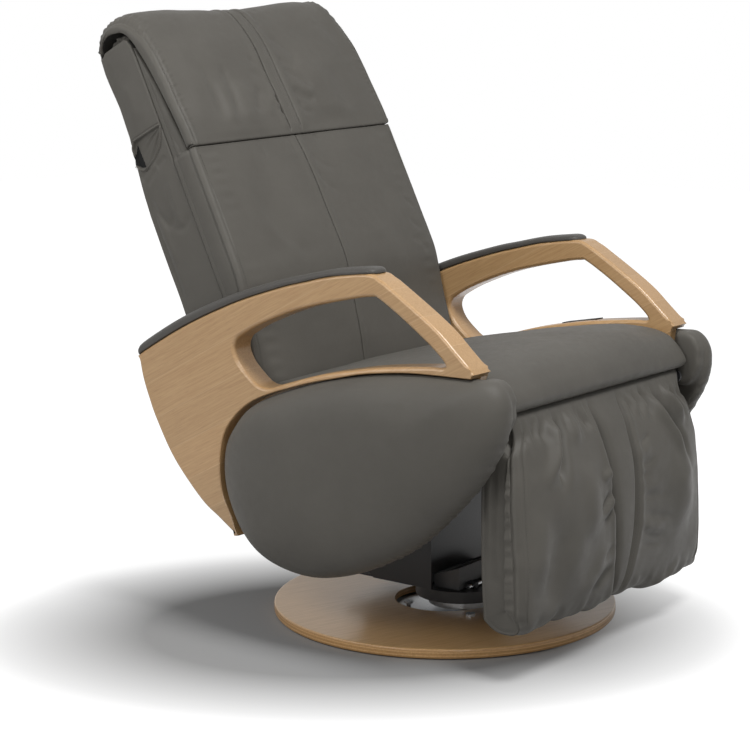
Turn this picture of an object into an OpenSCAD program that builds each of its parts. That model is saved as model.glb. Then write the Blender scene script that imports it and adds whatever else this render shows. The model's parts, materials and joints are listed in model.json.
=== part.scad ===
// Reflexology chair with a turning seat, a reclining back and a swinging leg rest.
// The floor is at z zero, the chair faces minus Y and its right arm is at minus X.

/* [Base] */
// Radius of the round wooden base board, mm
base_radius = 310; // [280:1:340]
// Thickness of the base board, mm
base_thickness = 17; // [12:1:25]
// Height of the floor glides, mm
glide_height = 2; // [1:0.5:6]
// Radius of each floor glide, mm
glide_radius = 15; // [8:1:25]
// Distance of the floor glides from the base centre, mm
glide_circle = 260; // [200:1:280]
// Radius of the steel plate let into the underside, mm
plate_radius = 115; // [90:1:140]
// Thickness of that steel plate, mm
plate_thickness = 5; // [3:0.5:8]
// Distance of the turning axis ahead of the base centre, mm
axis_ahead = 37; // [0:1:60]
// Distance of the base screws from the turning axis, mm
screw_circle = 96; // [80:1:110]

/* [Swivel] */
// Radius of the turning post, mm
post_radius = 25; // [18:0.5:35]
// Radius of the black hub disc, mm
hub_radius = 82; // [70:1:95]
// Height of the underside of the hub, mm
hub_bottom = 36; // [30:1:45]
// Height of the top of the hub, mm
hub_top = 57; // [50:1:65]
// Radial clearance of turning fits, mm
running_gap = 0.05; // [0.02:0.01:0.1]
// Gap left between neighbouring loose parts, mm
rest_gap = 0.3; // [0.2:0.05:0.5]

/* [Seat] */
// Half width of the seat cushion, mm
seat_half_width = 290; // [250:1:340]
// Gap between the seat cushion and each arm, mm
arm_gap = 2; // [0.5:0.5:6]
// Rise of the seat cushion in the middle, mm
seat_crown = 14; // [5:1:30]
// Thickness of the wooden arms, mm
arm_thickness = 49; // [35:1:60]
// Thickness of the arm layer behind the side cushion, mm
arm_layer = 20; // [15:1:30]
// Radius of the rounded wood edges, mm
wood_round = 6; // [3:0.5:10]
// How far the side cushions stand out from their recess, mm
side_depth = 72; // [50:1:90]

/* [Back] */
// Lean of the back at rest, degrees
back_lean = 25.5; // [15:0.5:35]
// Gap between the back and each arm, mm
back_gap = 11; // [5:1:20]
// How far the headrest flap stands out beyond the back on each side, mm
flap_overhang = 4; // [1:1:7]
// Thickness of the side panels of the back, mm
panel_thickness = 12; // [8:1:18]
// Sideways slope of the loose headrest cover, share
cover_slope = 0.035; // [0:0.005:0.06]
// Distance of the massage rails from the middle, mm
rail_offset = 60; // [40:1:75]

/* [Hidden] */
// Length that every share in the tables below is multiplied by, mm
unit = 1000;
// Faces on a full turn
$fn = 64;
// Small step between neighbouring faces that don't show
step = 0.001 * unit;
// Top of the floor glides and underside of the base board
base_bottom = glide_height;
// Top of the base board
base_top = base_bottom + base_thickness;
// Inner and outer faces of the arms, from the middle
arm_inner = seat_half_width + arm_gap;
arm_outer = arm_inner + arm_thickness;
// Half widths of the back cushion and of the headrest flap
back_half_width = arm_inner - back_gap;
flap_half_width = back_half_width + flap_overhang;
// Outer faces of the side panels of the back
panel_outer = back_half_width;
// Inner faces of the arms that the side places in the tables are chosen for
table_inner_share = 0.292;
// Side places beyond this one keep their distance to the arms
middle_share = 0.2;
// Centre of the recline hinge
recline_share = [0.210, 0.363];
// Centre of the leg rest hinge
leg_hinge_share = [-0.315, 0.421];
// Lower front corner that the leaning back is drawn from
back_origin_share = [0.165, 0.400];
// Recline hinge seen from the leaning back
hinge_y = (recline_share[0] - back_origin_share[0]) * unit;
hinge_z = (recline_share[1] - back_origin_share[1]) * unit;
hinge_u = hinge_y * cos(back_lean) - hinge_z * sin(back_lean);
hinge_w = hinge_y * sin(back_lean) + hinge_z * cos(back_lean);
// Rear and front pins of the recline drive
recline_rear_share = [0.045, 0.252];
recline_front_share = [0.283, 0.333];
// Rear and front pins of the leg rest drive
leg_rear_share = [0.060, 0.200];
leg_front_share = [-0.290, 0.345];
// Half width of the rear panel between the side panels of the back
panel_inner = panel_outer - panel_thickness - rest_gap;
// Sideways place of the two drives
drive_offset = 0.038 * unit;
// Radius of drive pins
pin_radius = 0.005 * unit;
// Width of the straight part of a slot, as share of its round ends
flush_share = 0.995;
// Radius of drive rods
rod_radius = 0.008 * unit;
// Top of the turning post
post_top = hub_top - step;
// Thickness of the flange on the turning post
post_flange = 0.004 * unit;
// Radius of that flange
flange_radius = post_radius + 0.007 * unit;
// Radius of the arm bolts
bolt_radius = 0.004 * unit;
// Places of the arm bolts
arm_bolt_shares = [[-0.200, 0.363], [-0.060, 0.363], [0.100, 0.363]];
// Outline of a wooden arm seen from its right side
arm_shares = [[0.196, 0.176], [0.202, 0.176], [0.240, 0.200], [0.283, 0.228], [0.345, 0.292],
    [0.386, 0.358], [0.404, 0.397], [0.417, 0.432], [0.425, 0.470], [0.413, 0.479],
    [0.359, 0.509], [0.312, 0.533], [0.252, 0.560], [0.178, 0.589], [0.092, 0.616],
    [0.048, 0.627], [-0.012, 0.641], [-0.090, 0.651], [-0.118, 0.643], [-0.147, 0.626],
    [-0.202, 0.591], [-0.237, 0.566], [-0.267, 0.539], [-0.294, 0.515], [-0.300, 0.507],
    [-0.294, 0.500], [-0.285, 0.440], [-0.262, 0.380], [-0.215, 0.325], [-0.140, 0.285],
    [-0.040, 0.262], [0.060, 0.250], [0.130, 0.215], [0.170, 0.186]];
// Outline of the hand opening in a wooden arm
hole_shares = [[-0.243, 0.520], [-0.240, 0.513], [-0.206, 0.511], [-0.117, 0.501], [-0.054, 0.490],
    [0.015, 0.475], [0.091, 0.452], [0.120, 0.443], [0.144, 0.445], [0.166, 0.460],
    [0.187, 0.480], [0.197, 0.501], [0.193, 0.517], [0.180, 0.528], [0.135, 0.551],
    [0.048, 0.583], [-0.061, 0.608], [-0.100, 0.614], [-0.113, 0.612], [-0.155, 0.587],
    [-0.196, 0.559], [-0.223, 0.539]];
// Places inside both outlines from which every point of them is seen
arm_middle_share = [0.050, 0.420];
hole_middle_share = [-0.020, 0.545];
// Recess in the outside of a wooden arm that the side cushion fills
recess_shares = [[-0.310, 0.500], [-0.400, 0.500], [-0.400, 0.100], [0.129, 0.100], [0.191, 0.165],
    [0.210, 0.205], [0.231, 0.250], [0.234, 0.316], [0.213, 0.369], [0.155, 0.418],
    [0.051, 0.455], [-0.024, 0.474], [-0.083, 0.487], [-0.154, 0.496], [-0.210, 0.499]];
// Outline of a side cushion
side_shares = [[0.153, 0.413], [0.034, 0.458], [-0.079, 0.484], [-0.187, 0.496], [-0.295, 0.498],
    [-0.340, 0.497], [-0.370, 0.476], [-0.375, 0.443], [-0.361, 0.395], [-0.311, 0.321],
    [-0.212, 0.228], [-0.131, 0.179], [-0.047, 0.142], [0.040, 0.125], [0.129, 0.139],
    [0.186, 0.179], [0.222, 0.250], [0.226, 0.316], [0.205, 0.364]];
// Centre that the side cushion swells around
side_centre_share = [-0.070, 0.330];
// Rings of a side cushion, as share of its depth and share of its outline
side_ring_shares = [[0, 0.975], [0.05, 0.995], [0.16, 1], [0.34, 0.99], [0.52, 0.955], [0.70, 0.88],
    [0.84, 0.76], [0.94, 0.58], [0.985, 0.36], [1, 0.14]];
// Front end of a side cushion that wraps round the arm
side_front_shares = [[-0.302, 0.497], [-0.340, 0.497], [-0.369, 0.476], [-0.373, 0.443],
    [-0.356, 0.412], [-0.325, 0.400], [-0.302, 0.402]];
// Top of the arm under the pad, rear to front, with pad thickness
pad_shares = [[0.444, 0.4615, 0.006], [0.436, 0.466, 0.012], [0.413, 0.480, 0.016], [0.359, 0.510, 0.017],
    [0.312, 0.534, 0.017], [0.252, 0.561, 0.016], [0.178, 0.590, 0.014], [0.092, 0.617, 0.012],
    [0.048, 0.628, 0.011], [-0.012, 0.642, 0.010], [-0.070, 0.649, 0.010], [-0.098, 0.652, 0.009],
    [-0.108, 0.6525, 0.006], [-0.112, 0.653, 0.003]];
// Round section of an arm pad, as share of its half width and of its thickness
pad_section_shares = [[-0.90, 0], [-1, 0.25], [-0.98, 0.6], [-0.88, 0.88], [-0.6, 0.98], [0, 1.04],
    [0.6, 0.98], [0.88, 0.88], [0.98, 0.6], [1, 0.25], [0.90, 0]];
// Section of the seat cushion, with share of the crown
seat_shares = [[-0.258, 0.3953, 0], [-0.150, 0.3953, 0], [0.165, 0.3953, 0], [0.167, 0.425, 0],
    [0.158, 0.438, 0.3], [0.120, 0.444, 0.8], [0.070, 0.457, 1], [-0.010, 0.474, 1],
    [-0.100, 0.490, 1], [-0.188, 0.503, 1], [-0.244, 0.503, 1], [-0.275, 0.499, 0.9],
    [-0.299, 0.490, 0.7], [-0.318, 0.472, 0.5], [-0.329, 0.456, 0.2], [-0.331, 0.446, 0],
    [-0.326, 0.439, 0], [-0.316, 0.437, 0], [-0.266, 0.437, 0], [-0.259, 0.430, 0]];
// Place inside the section of the seat cushion from which all of it is seen
seat_middle_share = [-0.100, 0.448];
// Stations of a cushion from its edge to its middle, as share of half width and drawn in edge
cushion_station_shares = [[1, 0.011], [0.988, 0.0035], [0.965, 0], [0.90, 0], [0.75, 0], [0.5, 0],
    [0.25, 0], [0, 0]];
// Section of the back cushion in the leaning frame, with share of the crown
back_shares = [[0.012, 0.020, 0], [0.012, 0.080, 0], [0.012, 0.154, 0], [0.012, 0.217, 0],
    [0.012, 0.305, 0], [0.012, 0.370, 0], [0.012, 0.420, 0], [0.012, 0.466, 0], [0.012, 0.486, 0],
    [0.012, 0.500, 0], [0.012, 0.590, 0], [0.013, 0.640, 0], [0, 0.644, 0], [-0.010, 0.600, 0],
    [-0.0195, 0.500, 0], [-0.0205, 0.4785, 0], [-0.034, 0.463, 0.1], [-0.037, 0.420, 0.6],
    [-0.038, 0.370, 0.9], [-0.040, 0.305, 1], [-0.040, 0.217, 1], [-0.025, 0.154, 1],
    [-0.012, 0.080, 0.6], [-0.002, 0.022, 0]];
// Rise of the back cushion in the middle
back_crown = 0.010 * unit;
// Section of the headrest flap in the leaning frame
flap_shares = [[0.113, 0.640], [0.115, 0.668], [0.115, 0.700], [0.114, 0.728], [0.108, 0.744],
    [0.095, 0.756], [0.073, 0.763], [0.045, 0.766], [0.018, 0.758], [0.004, 0.735],
    [-0.008, 0.690], [-0.025, 0.602], [-0.032, 0.540], [-0.036, 0.488], [-0.033, 0.481],
    [-0.023, 0.482], [-0.022, 0.488], [-0.018, 0.540], [-0.011, 0.602], [0.007, 0.690],
    [0.018, 0.726], [0.029, 0.744], [0.047, 0.751], [0.071, 0.748], [0.088, 0.742],
    [0.097, 0.733], [0.101, 0.718], [0.101, 0.700], [0.101, 0.668], [0.101, 0.642]];
// Stations of the flap, as share of half width, drawn in edge and groove beside the middle strip
flap_station_shares = [[1, 0.005], [0.99, 0.0015], [0.965, 0], [0.80, 0], [0.55, 0], [0.30, 0],
    [0.12, 0], [0.075, 0.0005], [0.058, 0.002], [0.045, 0.0005]];
// Section of the leg rest, with half width at each point
leg_shares = [[-0.290, 0.092, 0.286], [-0.290, 0.200, 0.290], [-0.290, 0.340, 0.288],
    [-0.290, 0.394, 0.280], [-0.301, 0.402, 0.2660], [-0.302, 0.419, 0.2660], [-0.306, 0.430, 0.2660],
    [-0.315, 0.434, 0.2660], [-0.324, 0.430, 0.2660], [-0.330, 0.418, 0.2660], [-0.340, 0.401, 0.2660],
    [-0.351, 0.380, 0.284], [-0.361, 0.350, 0.292], [-0.369, 0.322, 0.296], [-0.375, 0.280, 0.298],
    [-0.378, 0.235, 0.298], [-0.378, 0.190, 0.298], [-0.374, 0.145, 0.298], [-0.368, 0.108, 0.296],
    [-0.358, 0.086, 0.290], [-0.340, 0.075, 0.286], [-0.315, 0.073, 0.284], [-0.297, 0.079, 0.284]];
// Place inside the section of the leg rest from which all of it is seen
leg_middle_share = [-0.330, 0.250];
// Half width of the middle strip of the leg rest at its top and bottom
strip_top = 0.046 * unit;
strip_bottom = 0.014 * unit;
// Stations of the leg rest: share of the strip, share of the side, push out, drawn in edge
leg_station_shares = [[0, 0, 0, 0], [0.55, 0, 0, 0], [0.9, 0, -0.002, 0], [1, 0, -0.007, 0],
    [1, 0.03, -0.003, 0], [1, 0.09, 0.004, 0], [1, 0.20, 0.007, 0], [1, 0.32, 0.006, 0],
    [1, 0.42, 0.002, 0], [1, 0.54, 0.006, 0], [1, 0.68, 0.007, 0], [1, 0.80, 0.002, 0],
    [1, 0.90, 0.002, 0], [1, 0.96, -0.001, 0.001], [1, 0.985, -0.002, 0.005], [1, 1, -0.002, 0.014]];

// Bars and plates below are boxes, rows of low X, high X, low Y, high Y, low Z, high Z.
floor_plate_shares = [-0.082, 0.082, -0.013, 0.170, 0.057, 0.061];
front_plate_shares = [-0.078, 0.078, -0.030, -0.026, 0.085, 0.343];
front_window_shares = [0.012, 0.064, -0.031, -0.025, 0.205, 0.275];
rail_shares = [0.262, 0.292, -0.262, 0.240, 0.343, 0.383];
cross_shares = [[-0.2621, 0.2621, -0.262, -0.236, 0.363, 0.383], [-0.2621, 0.2621, -0.030, 0, 0.343, 0.383],
    [-0.2621, 0.2621, 0.140, 0.170, 0.343, 0.383]];
board_shares = [-0.285, 0.285, -0.258, 0.170, 0.383, 0.395];
chassis_side_shares = [[-0.030, 0.057], [0.100, 0.057], [0.170, 0.130], [0.170, 0.343], [-0.030, 0.343]];
wedge_shares = [[-0.075, 0.057], [-0.021, 0.057], [-0.021, 0.078], [-0.075, 0.098]];
ear_shares = [[-0.262, 0.343], [-0.262, 0.433], [-0.315, 0.433], [-0.315, 0.409], [-0.283, 0.409],
    [-0.274, 0.398], [-0.274, 0.343]];
strip_shares = [[-0.048, 0.4865], [-0.048, 0.4905], [-0.123, 0.5035], [-0.123, 0.4985]];
strip_pocket_shares = [[-0.0475, 0.4860], [-0.0475, 0.5200], [-0.1235, 0.5300], [-0.1235, 0.4980]];
back_member_shares = [[0.0123, -0.008], [0.0123, 0.585], [0.054, 0.585], [0.054, -0.008]];
back_bar_shares = [[-0.2301, 0.2301, 0.016, 0.052, 0.022, 0.046],
    [-0.2301, 0.2301, 0.016, 0.052, 0.552, 0.585]];
lever_shares = [[0.052, 0.022], [0.052, 0.046], [0.070, 0.046], [0.147, 0.004], [0.150, -0.012],
    [0.143, -0.024], [0.126, -0.024], [0.090, 0.010]];
back_side_shares = [[0.0123, 0.030], [0.129, 0.030], [0.130, 0.300], [0.129, 0.400], [0.123, 0.500],
    [0.108, 0.572], [0.099, 0.640], [0.098, 0.716], [0.022, 0.711], [0.020, 0.700], [0.0123, 0.590]];
hand_hold_shares = [[0.032, 0.538], [0.040, 0.518], [0.060, 0.500], [0.085, 0.490], [0.108, 0.488],
    [0.103, 0.538]];
rear_panel_shares = [[0.123, 0.060], [0.129, 0.060], [0.130, 0.300], [0.129, 0.400], [0.123, 0.500],
    [0.108, 0.572], [0.0985, 0.640], [0.0975, 0.708], [0.0915, 0.708], [0.0925, 0.640], [0.102, 0.572],
    [0.117, 0.500], [0.123, 0.400], [0.124, 0.300]];
head_shares = [[0.0136, 0.600], [0.090, 0.600], [0.087, 0.640], [0.087, 0.716], [0.078, 0.729],
    [0.060, 0.7365], [0.045, 0.7365], [0.032, 0.730], [0.020, 0.715], [0.011, 0.690],
    [0.010, 0.672], [0.0136, 0.662]];
leg_bar_shares = [[-0.262, -0.238, -0.318, -0.298, 0.110, 0.421],
    [0.238, 0.262, -0.318, -0.298, 0.110, 0.421],
    [-0.2381, 0.2381, -0.3057, -0.291, 0.110, 0.134], [-0.2381, 0.2381, -0.3057, -0.291, 0.300, 0.320]];
leg_board_shares = [-0.2377, 0.2377, -0.318, -0.306, 0.110, 0.404];
leg_pocket_shares = [[-0.3183, 0.1097], [-0.280, 0.1097], [-0.280, 0.421], [-0.3183, 0.421]];
leg_lever_shares = [[-0.306, 0.3203], [-0.272, 0.330], [-0.272, 0.378], [-0.282, 0.386], [-0.306, 0.386]];

// Length share table turned into millimetres.
function mm(shares) = shares * unit;

// Side place in millimetres, which follows the arms when it lies outside the middle.
function side_mm(x) = x * unit
    + (abs(x) > middle_share ? sign(x) * (arm_inner - table_inner_share * unit) : 0);

// Point on a rounded line through four neighbouring points.
function between(a, b, c, d, t) = 0.5 * (2 * b + (c - a) * t + (2 * a - 5 * b + 4 * c - d) * t * t
    + (3 * b - a - 3 * c + d) * t * t * t);

// Rounded closed line with a number of steps to each given point.
function rounded(p, steps) = let (n = len(p)) [for (i = [0:n - 1]) for (j = [0:steps - 1])
    between(p[(i + n - 1) % n], p[i], p[(i + 1) % n], p[(i + 2) % n], j / steps)];

// Direction that points out of a closed line at one of its points.
function outward(p, i) = let (n = len(p), e = p[(i + 1) % n] - p[(i + n - 1) % n],
    l = norm([e[0], e[1]])) [e[1] / l, -e[0] / l];

// Ring at one place along X with its outline pushed out or drawn in.
function ring(p, x, push, crown) = [for (i = [0:len(p) - 1]) let (d = outward(p, i),
    m = push + crown * (len(p[i]) > 2 ? p[i][2] / unit : 0))
    [x, p[i][0] + d[0] * m, p[i][1] + d[1] * m]];

// Mean of a list of points.
function mean(p) = [for (k = [0:2]) [for (q = p) 1] * [for (q = p) q[k]] / len(p)];

// Centre of an end face: the mean of its points, moved to a given place in Y and Z.
function centre(p, hub) = let (c = mean(p)) is_undef(hub) ? c : [c[0], hub[0], hub[1]];

// Outline in the leaning frame whose upper part slopes sideways with the loose headrest cover.
function sloped(p, x) = [for (q = p) let (part = max(0, min(1, (q[1] / unit - 0.40) / 0.06)))
    len(q) > 2 ? [q[0], q[1] + x * cover_slope * part, q[2]] : [q[0], q[1] + x * cover_slope * part]];

// Closed skin over rings, with end faces that fan out from a centre.
module skin(rings, hub) {
    n = len(rings[0]);
    m = len(rings);
    points = concat([for (r = rings) for (p = r) p], [centre(rings[0], hub), centre(rings[m - 1], hub)]);
    low_cap = [for (j = [0:n - 1]) [m * n, j, (j + 1) % n]];
    high_cap = [for (j = [0:n - 1]) [m * n + 1, (m - 1) * n + (j + 1) % n, (m - 1) * n + j]];
    polyhedron(points = points, faces = concat(skin_sides(n, m), low_cap, high_cap));
}

// Closed skin over rings of a long thin outline, whose first points face its last ones.
module strip_skin(rings) {
    n = len(rings[0]);
    m = len(rings);
    last = (m - 1) * n;
    points = [for (r = rings) for (p = r) p];
    low_cap = [for (k = [0:n / 2 - 2]) for (half = [0, 1]) half == 0
        ? [k, k + 1, n - 2 - k] : [k, n - 2 - k, n - 1 - k]];
    high_cap = [for (f = low_cap) [last + f[2], last + f[1], last + f[0]]];
    polyhedron(points = points, faces = concat(skin_sides(n, m), low_cap, high_cap));
}

// Faces between neighbouring rings of n points, m rings in all.
function skin_sides(n, m) = [for (i = [0:m - 2]) for (j = [0:n - 1]) for (half = [0, 1]) half == 0
    ? [i * n + j, (i + 1) * n + j, (i + 1) * n + (j + 1) % n]
    : [i * n + j, (i + 1) * n + (j + 1) % n, i * n + (j + 1) % n]];

// Stations from the low side to the high side of a symmetric piece.
function both_ways(rows) = let (n = len(rows)) concat([for (i = [0:n - 1]) [-1, rows[i]]],
    [for (i = [n - 2:-1:0]) [1, rows[i]]]);

// Stations from the low side to the high side of a piece with no row in the middle.
function both_sides(rows) = let (n = len(rows)) concat([for (i = [0:n - 1]) [-1, rows[i]]],
    [for (i = [n - 1:-1:0]) [1, rows[i]]]);

// Plate cut along X from an outline in Y and Z.
module plate(low, high, shares) {
    translate([low, 0, 0])
        rotate([90, 0, 90])
            linear_extrude(high - low)
                polygon(mm(shares));
}

// Box from a row of limits.
module block(row) {
    r = mm(row);
    low = side_mm(row[0]);
    translate([low, r[2], r[4]])
        cube([side_mm(row[1]) - low, r[3] - r[2], r[5] - r[4]]);
}

// Round bar along X between two places, through a point given in shares.
module bar(low, high, share, radius) {
    translate([low, share[0] * unit, share[1] * unit])
        rotate([0, 90, 0])
            cylinder(h = high - low, r = radius);
}

// Round bar along Y.
module reach(start, finish, radius) {
    translate([0, start, 0])
        rotate([-90, 0, 0])
            cylinder(h = finish - start, r = radius);
}

// Slot with round ends cut along X.
module slot(low, high, first, second, radius) {
    run = (second - first) * unit;
    bar(low, high, first, radius);
    bar(low, high, second, radius);
    translate([low, first[0] * unit, first[1] * unit])
        rotate([atan2(run[1], run[0]), 0, 0])
            translate([0, 0, -radius * flush_share])
                cube([high - low, norm(run), 2 * radius * flush_share]);
}

// Everything below leans with the back.
module leaning() {
    translate([0, back_origin_share[0] * unit, back_origin_share[1] * unit])
        rotate([-back_lean, 0, 0])
            children();
}

// Everything below lies along a drive between two pins.
module along(rear, front, offset) {
    run = (front - rear) * unit;
    translate([offset, rear[0] * unit, rear[1] * unit])
        rotate([atan2(run[1], run[0]), 0, 0])
            children();
}

// Draws its children on both sides of the chair.
module both_arms() {
    children();
    mirror([1, 0, 0])
        children();
}

module floor_glides() {
    color("black")
        union() {
            cylinder(h = glide_height, r = glide_radius);
            for (turn = [45, 135, 225, 315])
                rotate([0, 0, turn])
                    translate([glide_circle, 0, 0])
                        cylinder(h = glide_height, r = glide_radius);
        }
}

module base_disc() {
    color("burlywood")
        difference() {
            translate([0, 0, base_bottom])
                cylinder(h = base_thickness, r = base_radius, $fn = 128);
            translate([0, -axis_ahead, 0])
                cylinder(h = base_bottom + plate_thickness, r = plate_radius + rest_gap);
            translate([0, -axis_ahead, 0])
                cylinder(h = 2 * base_top, r = post_radius + rest_gap);
            base_screw_shape(running_gap);
        }
}

module base_plate() {
    color("gray")
        difference() {
            translate([0, -axis_ahead, base_bottom])
                cylinder(h = plate_thickness, r = plate_radius);
            base_screw_shape(running_gap);
        }
}

module swivel_post() {
    color("silver") {
        translate([0, -axis_ahead, base_bottom + plate_thickness])
            cylinder(h = post_top - base_bottom - plate_thickness, r = post_radius);
        translate([0, -axis_ahead, post_top - post_flange])
            cylinder(h = post_flange, r = flange_radius);
    }
}

module base_screw_shape(gap) {
    for (turn = [45, 135, 225, 315])
        translate([0, -axis_ahead, 0])
            rotate([0, 0, turn])
                translate([screw_circle, 0, base_bottom + step])
                    cylinder(h = base_thickness - step, r = pin_radius * 0.8 + gap);
}

module base_screws() {
    color("silver") {
        base_screw_shape(0);
        for (turn = [45, 135, 225, 315])
            translate([0, -axis_ahead, 0])
                rotate([0, 0, turn])
                    translate([screw_circle, 0, base_top])
                        difference() {
                            cylinder(h = pin_radius * 0.8, r = pin_radius * 1.7);
                            translate([0, 0, pin_radius * 0.4])
                                cylinder(h = pin_radius, r = pin_radius * 0.7, $fn = 6);
                        }
    }
}

module bearing_ring() {
    color("silver")
        translate([0, -axis_ahead, base_top])
            difference() {
                cylinder(h = hub_bottom - base_top, r = hub_radius * 0.72);
                translate([0, 0, -step])
                    cylinder(h = 2 * hub_bottom, r = post_radius + rest_gap);
            }
}

module swivel_hub() {
    color("black")
        difference() {
            union() {
                translate([0, -axis_ahead, hub_bottom])
                    cylinder(h = hub_top - hub_bottom, r = hub_radius, $fn = 96);
                for (x = mm([-0.032, 0.024]))
                    translate([x, -0.092 * unit, hub_top - step])
                        cube(mm([0.008, 0.016, 0.012]));
            }
            translate([0, -axis_ahead, 0])
                cylinder(h = 2 * hub_top, r = post_radius + running_gap);
            translate([0, -axis_ahead, post_top - post_flange - rest_gap])
                cylinder(h = hub_top, r = flange_radius + rest_gap);
            bar(mm(-0.1), mm(0.1), [-0.084, 0.0615], 0.0043 * unit);
        }
}

module hub_pin() {
    color("silver")
        bar(mm(-0.045), mm(0.060), [-0.084, 0.0615], 0.0042 * unit);
}

module chassis_sides() {
    color("black")
        both_arms()
            difference() {
                plate(mm(-0.082), mm(-0.078), chassis_side_shares);
                bar(mm(-0.1), mm(0), recline_rear_share, pin_radius + running_gap);
                bar(mm(-0.1), mm(0), leg_rear_share, pin_radius + running_gap);
            }
}

module chassis_front() {
    color("black")
        difference() {
            block(front_plate_shares);
            block(front_window_shares);
        }
}

module chassis_floor() {
    color("black")
        difference() {
            block(floor_plate_shares - [-0.0041, 0.0041, 0, 0, 0, 0]);
            translate([0, -axis_ahead, 0])
                cylinder(h = 2 * hub_top, r = flange_radius + rest_gap);
        }
}

module control_box() {
    color("gray")
        plate(mm(-0.060), mm(0.060), wedge_shares);
}

module power_inlet() {
    color("dimgray")
        difference() {
            block([-0.024, 0.024, 0.140, 0.170, 0.061, 0.094]);
            block([-0.014, 0.014, 0.152, 0.180, 0.067, 0.088]);
        }
    color("silver")
        for (x = mm([-0.008, 0, 0.008]))
            translate([x, 0.150 * unit, 0.0775 * unit])
                reach(0, 0.014 * unit, 0.0014 * unit);
}

module seat_frame() {
    color("black")
        difference() {
            union() {
                both_arms()
                    block(rail_shares);
                for (row = cross_shares)
                    block(row);
                both_arms()
                    union() {
                        plate(side_mm(0.270), side_mm(0.276), ear_shares);
                        bar(side_mm(0.270), side_mm(0.276), leg_hinge_share, 0.012 * unit);
                    }
            }
            both_arms()
                union() {
                    bar(side_mm(0.260), side_mm(0.300), recline_share, 0.006 * unit + running_gap);
                    bar(side_mm(0.260), side_mm(0.280), leg_hinge_share, pin_radius + running_gap);
                    for (share = arm_bolt_shares)
                        bar(side_mm(0.250), side_mm(0.300), share, bolt_radius + running_gap);
                }
        }
}

module seat_board() {
    color("tan")
        block(board_shares);
}

module seat_cushion() {
    color("gray") {
        outline = mm(seat_shares);
        skin([for (s = both_ways(cushion_station_shares)) let (x = s[0] * s[1][0])
            ring(outline, x * seat_half_width, -s[1][1] * unit, seat_crown * (1 - x * x))],
            mm(seat_middle_share));
    }
}

// Rings of a panel with rounded edges, or of an opening whose edges flare outwards.
function edge_rings(p, sign) = let (r = wood_round, rows = sign > 0
    ? [[-0.2, 1.25], [0.12, 0.52], [0.4, 0.16], [1, 0]] : [[0, 1], [0.12, 0.52], [0.4, 0.16], [1, 0]])
    concat([for (s = rows) ring(p, arm_inner + s[0] * r, sign * s[1] * r, 0)],
        [for (i = [3:-1:0]) ring(p, arm_outer - rows[i][0] * r, sign * rows[i][1] * r, 0)]);

module arm_shape() {
    difference() {
        skin(edge_rings(mm(arm_shares), -1), mm(arm_middle_share));
        skin(edge_rings(mm(hole_shares), 1), mm(hole_middle_share));
        plate(arm_inner + arm_layer, arm_outer + wood_round, recess_shares);
        for (share = arm_bolt_shares)
            bar(side_mm(0.250), side_mm(0.308), share, bolt_radius + running_gap);
    }
}

module arm_right() {
    color("burlywood")
        mirror([1, 0, 0])
            arm_shape();
}

module arm_left() {
    color("burlywood")
        difference() {
            arm_shape();
            plate(side_mm(0.3157), side_mm(0.3403), strip_pocket_shares);
        }
}

module control_strip() {
    color("black")
        plate(side_mm(0.316), side_mm(0.340), strip_shares);
}

// Ring across an arm pad at one row of the pad table.
function pad_ring(rows, i) = let (n = len(rows), a = rows[max(i - 1, 0)], b = rows[min(i + 1, n - 1)],
    e = [b[0] - a[0], b[1] - a[1]], up = [e[1], -e[0]] / norm(e),
    half = (arm_thickness / 2 - step) * (i == 0 || i == n - 1 ? 0.9 : 1))
    [for (s = pad_section_shares) let (m = rest_gap + s[1] * rows[i][2])
        [(arm_inner + arm_outer) / 2 + s[0] * half, rows[i][0] + up[0] * m, rows[i][1] + up[1] * m]];

module pad_shape() {
    rows = mm(pad_shares);
    skin([for (i = [0:len(rows) - 1]) pad_ring(rows, i)]);
}

module arm_pad_right() {
    color("dimgray")
        mirror([1, 0, 0])
            pad_shape();
}

module arm_pad_left() {
    color("dimgray")
        pad_shape();
}

module side_shape() {
    outline = rounded(mm(side_shares), 2);
    c = mm(side_centre_share);
    low = arm_inner + arm_layer + rest_gap;
    skin([for (s = side_ring_shares) [for (p = outline)
        [low + s[0] * side_depth, c[0] + (p[0] - c[0]) * s[1], c[1] + (p[1] - c[1]) * s[1]]]]);
    front = rounded(mm(side_front_shares), 2);
    skin([for (s = [[0.0005, -0.006], [0.004, -0.001], [0.012, 0], [0.024, 0], [0.032, -0.002]])
        ring(front, arm_inner + s[0] * unit, s[1] * unit, 0)]);
}

module side_cushion_right() {
    color("gray")
        mirror([1, 0, 0])
            side_shape();
}

module side_cushion_left() {
    color("gray")
        side_shape();
}

module arm_bolts() {
    color("silver")
        both_arms()
            for (share = arm_bolt_shares)
                union() {
                    bar(side_mm(0.262), side_mm(0.307), share, bolt_radius);
                    bar(side_mm(0.258), side_mm(0.262), share, 1.8 * bolt_radius);
                }
}

module leg_pivot_pins() {
    color("silver")
        both_arms()
            union() {
                bar(side_mm(0.230), side_mm(0.276), leg_hinge_share, pin_radius);
                bar(side_mm(0.276), side_mm(0.280), leg_hinge_share, 0.009 * unit);
            }
}

module back_pivot_pins() {
    color("silver")
        both_arms()
            union() {
                bar(side_mm(0.2297) - rest_gap, side_mm(0.290), recline_share, 0.006 * unit);
                bar(side_mm(0.223), side_mm(0.2297), recline_share, 0.011 * unit);
            }
}

module back_pivot_bushes() {
    color("gray")
        both_arms()
            difference() {
                bar(side_mm(0.256) + rest_gap, side_mm(0.262), recline_share, 0.014 * unit);
                bar(side_mm(0.250), side_mm(0.270), recline_share, 0.006 * unit + running_gap);
            }
}

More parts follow.
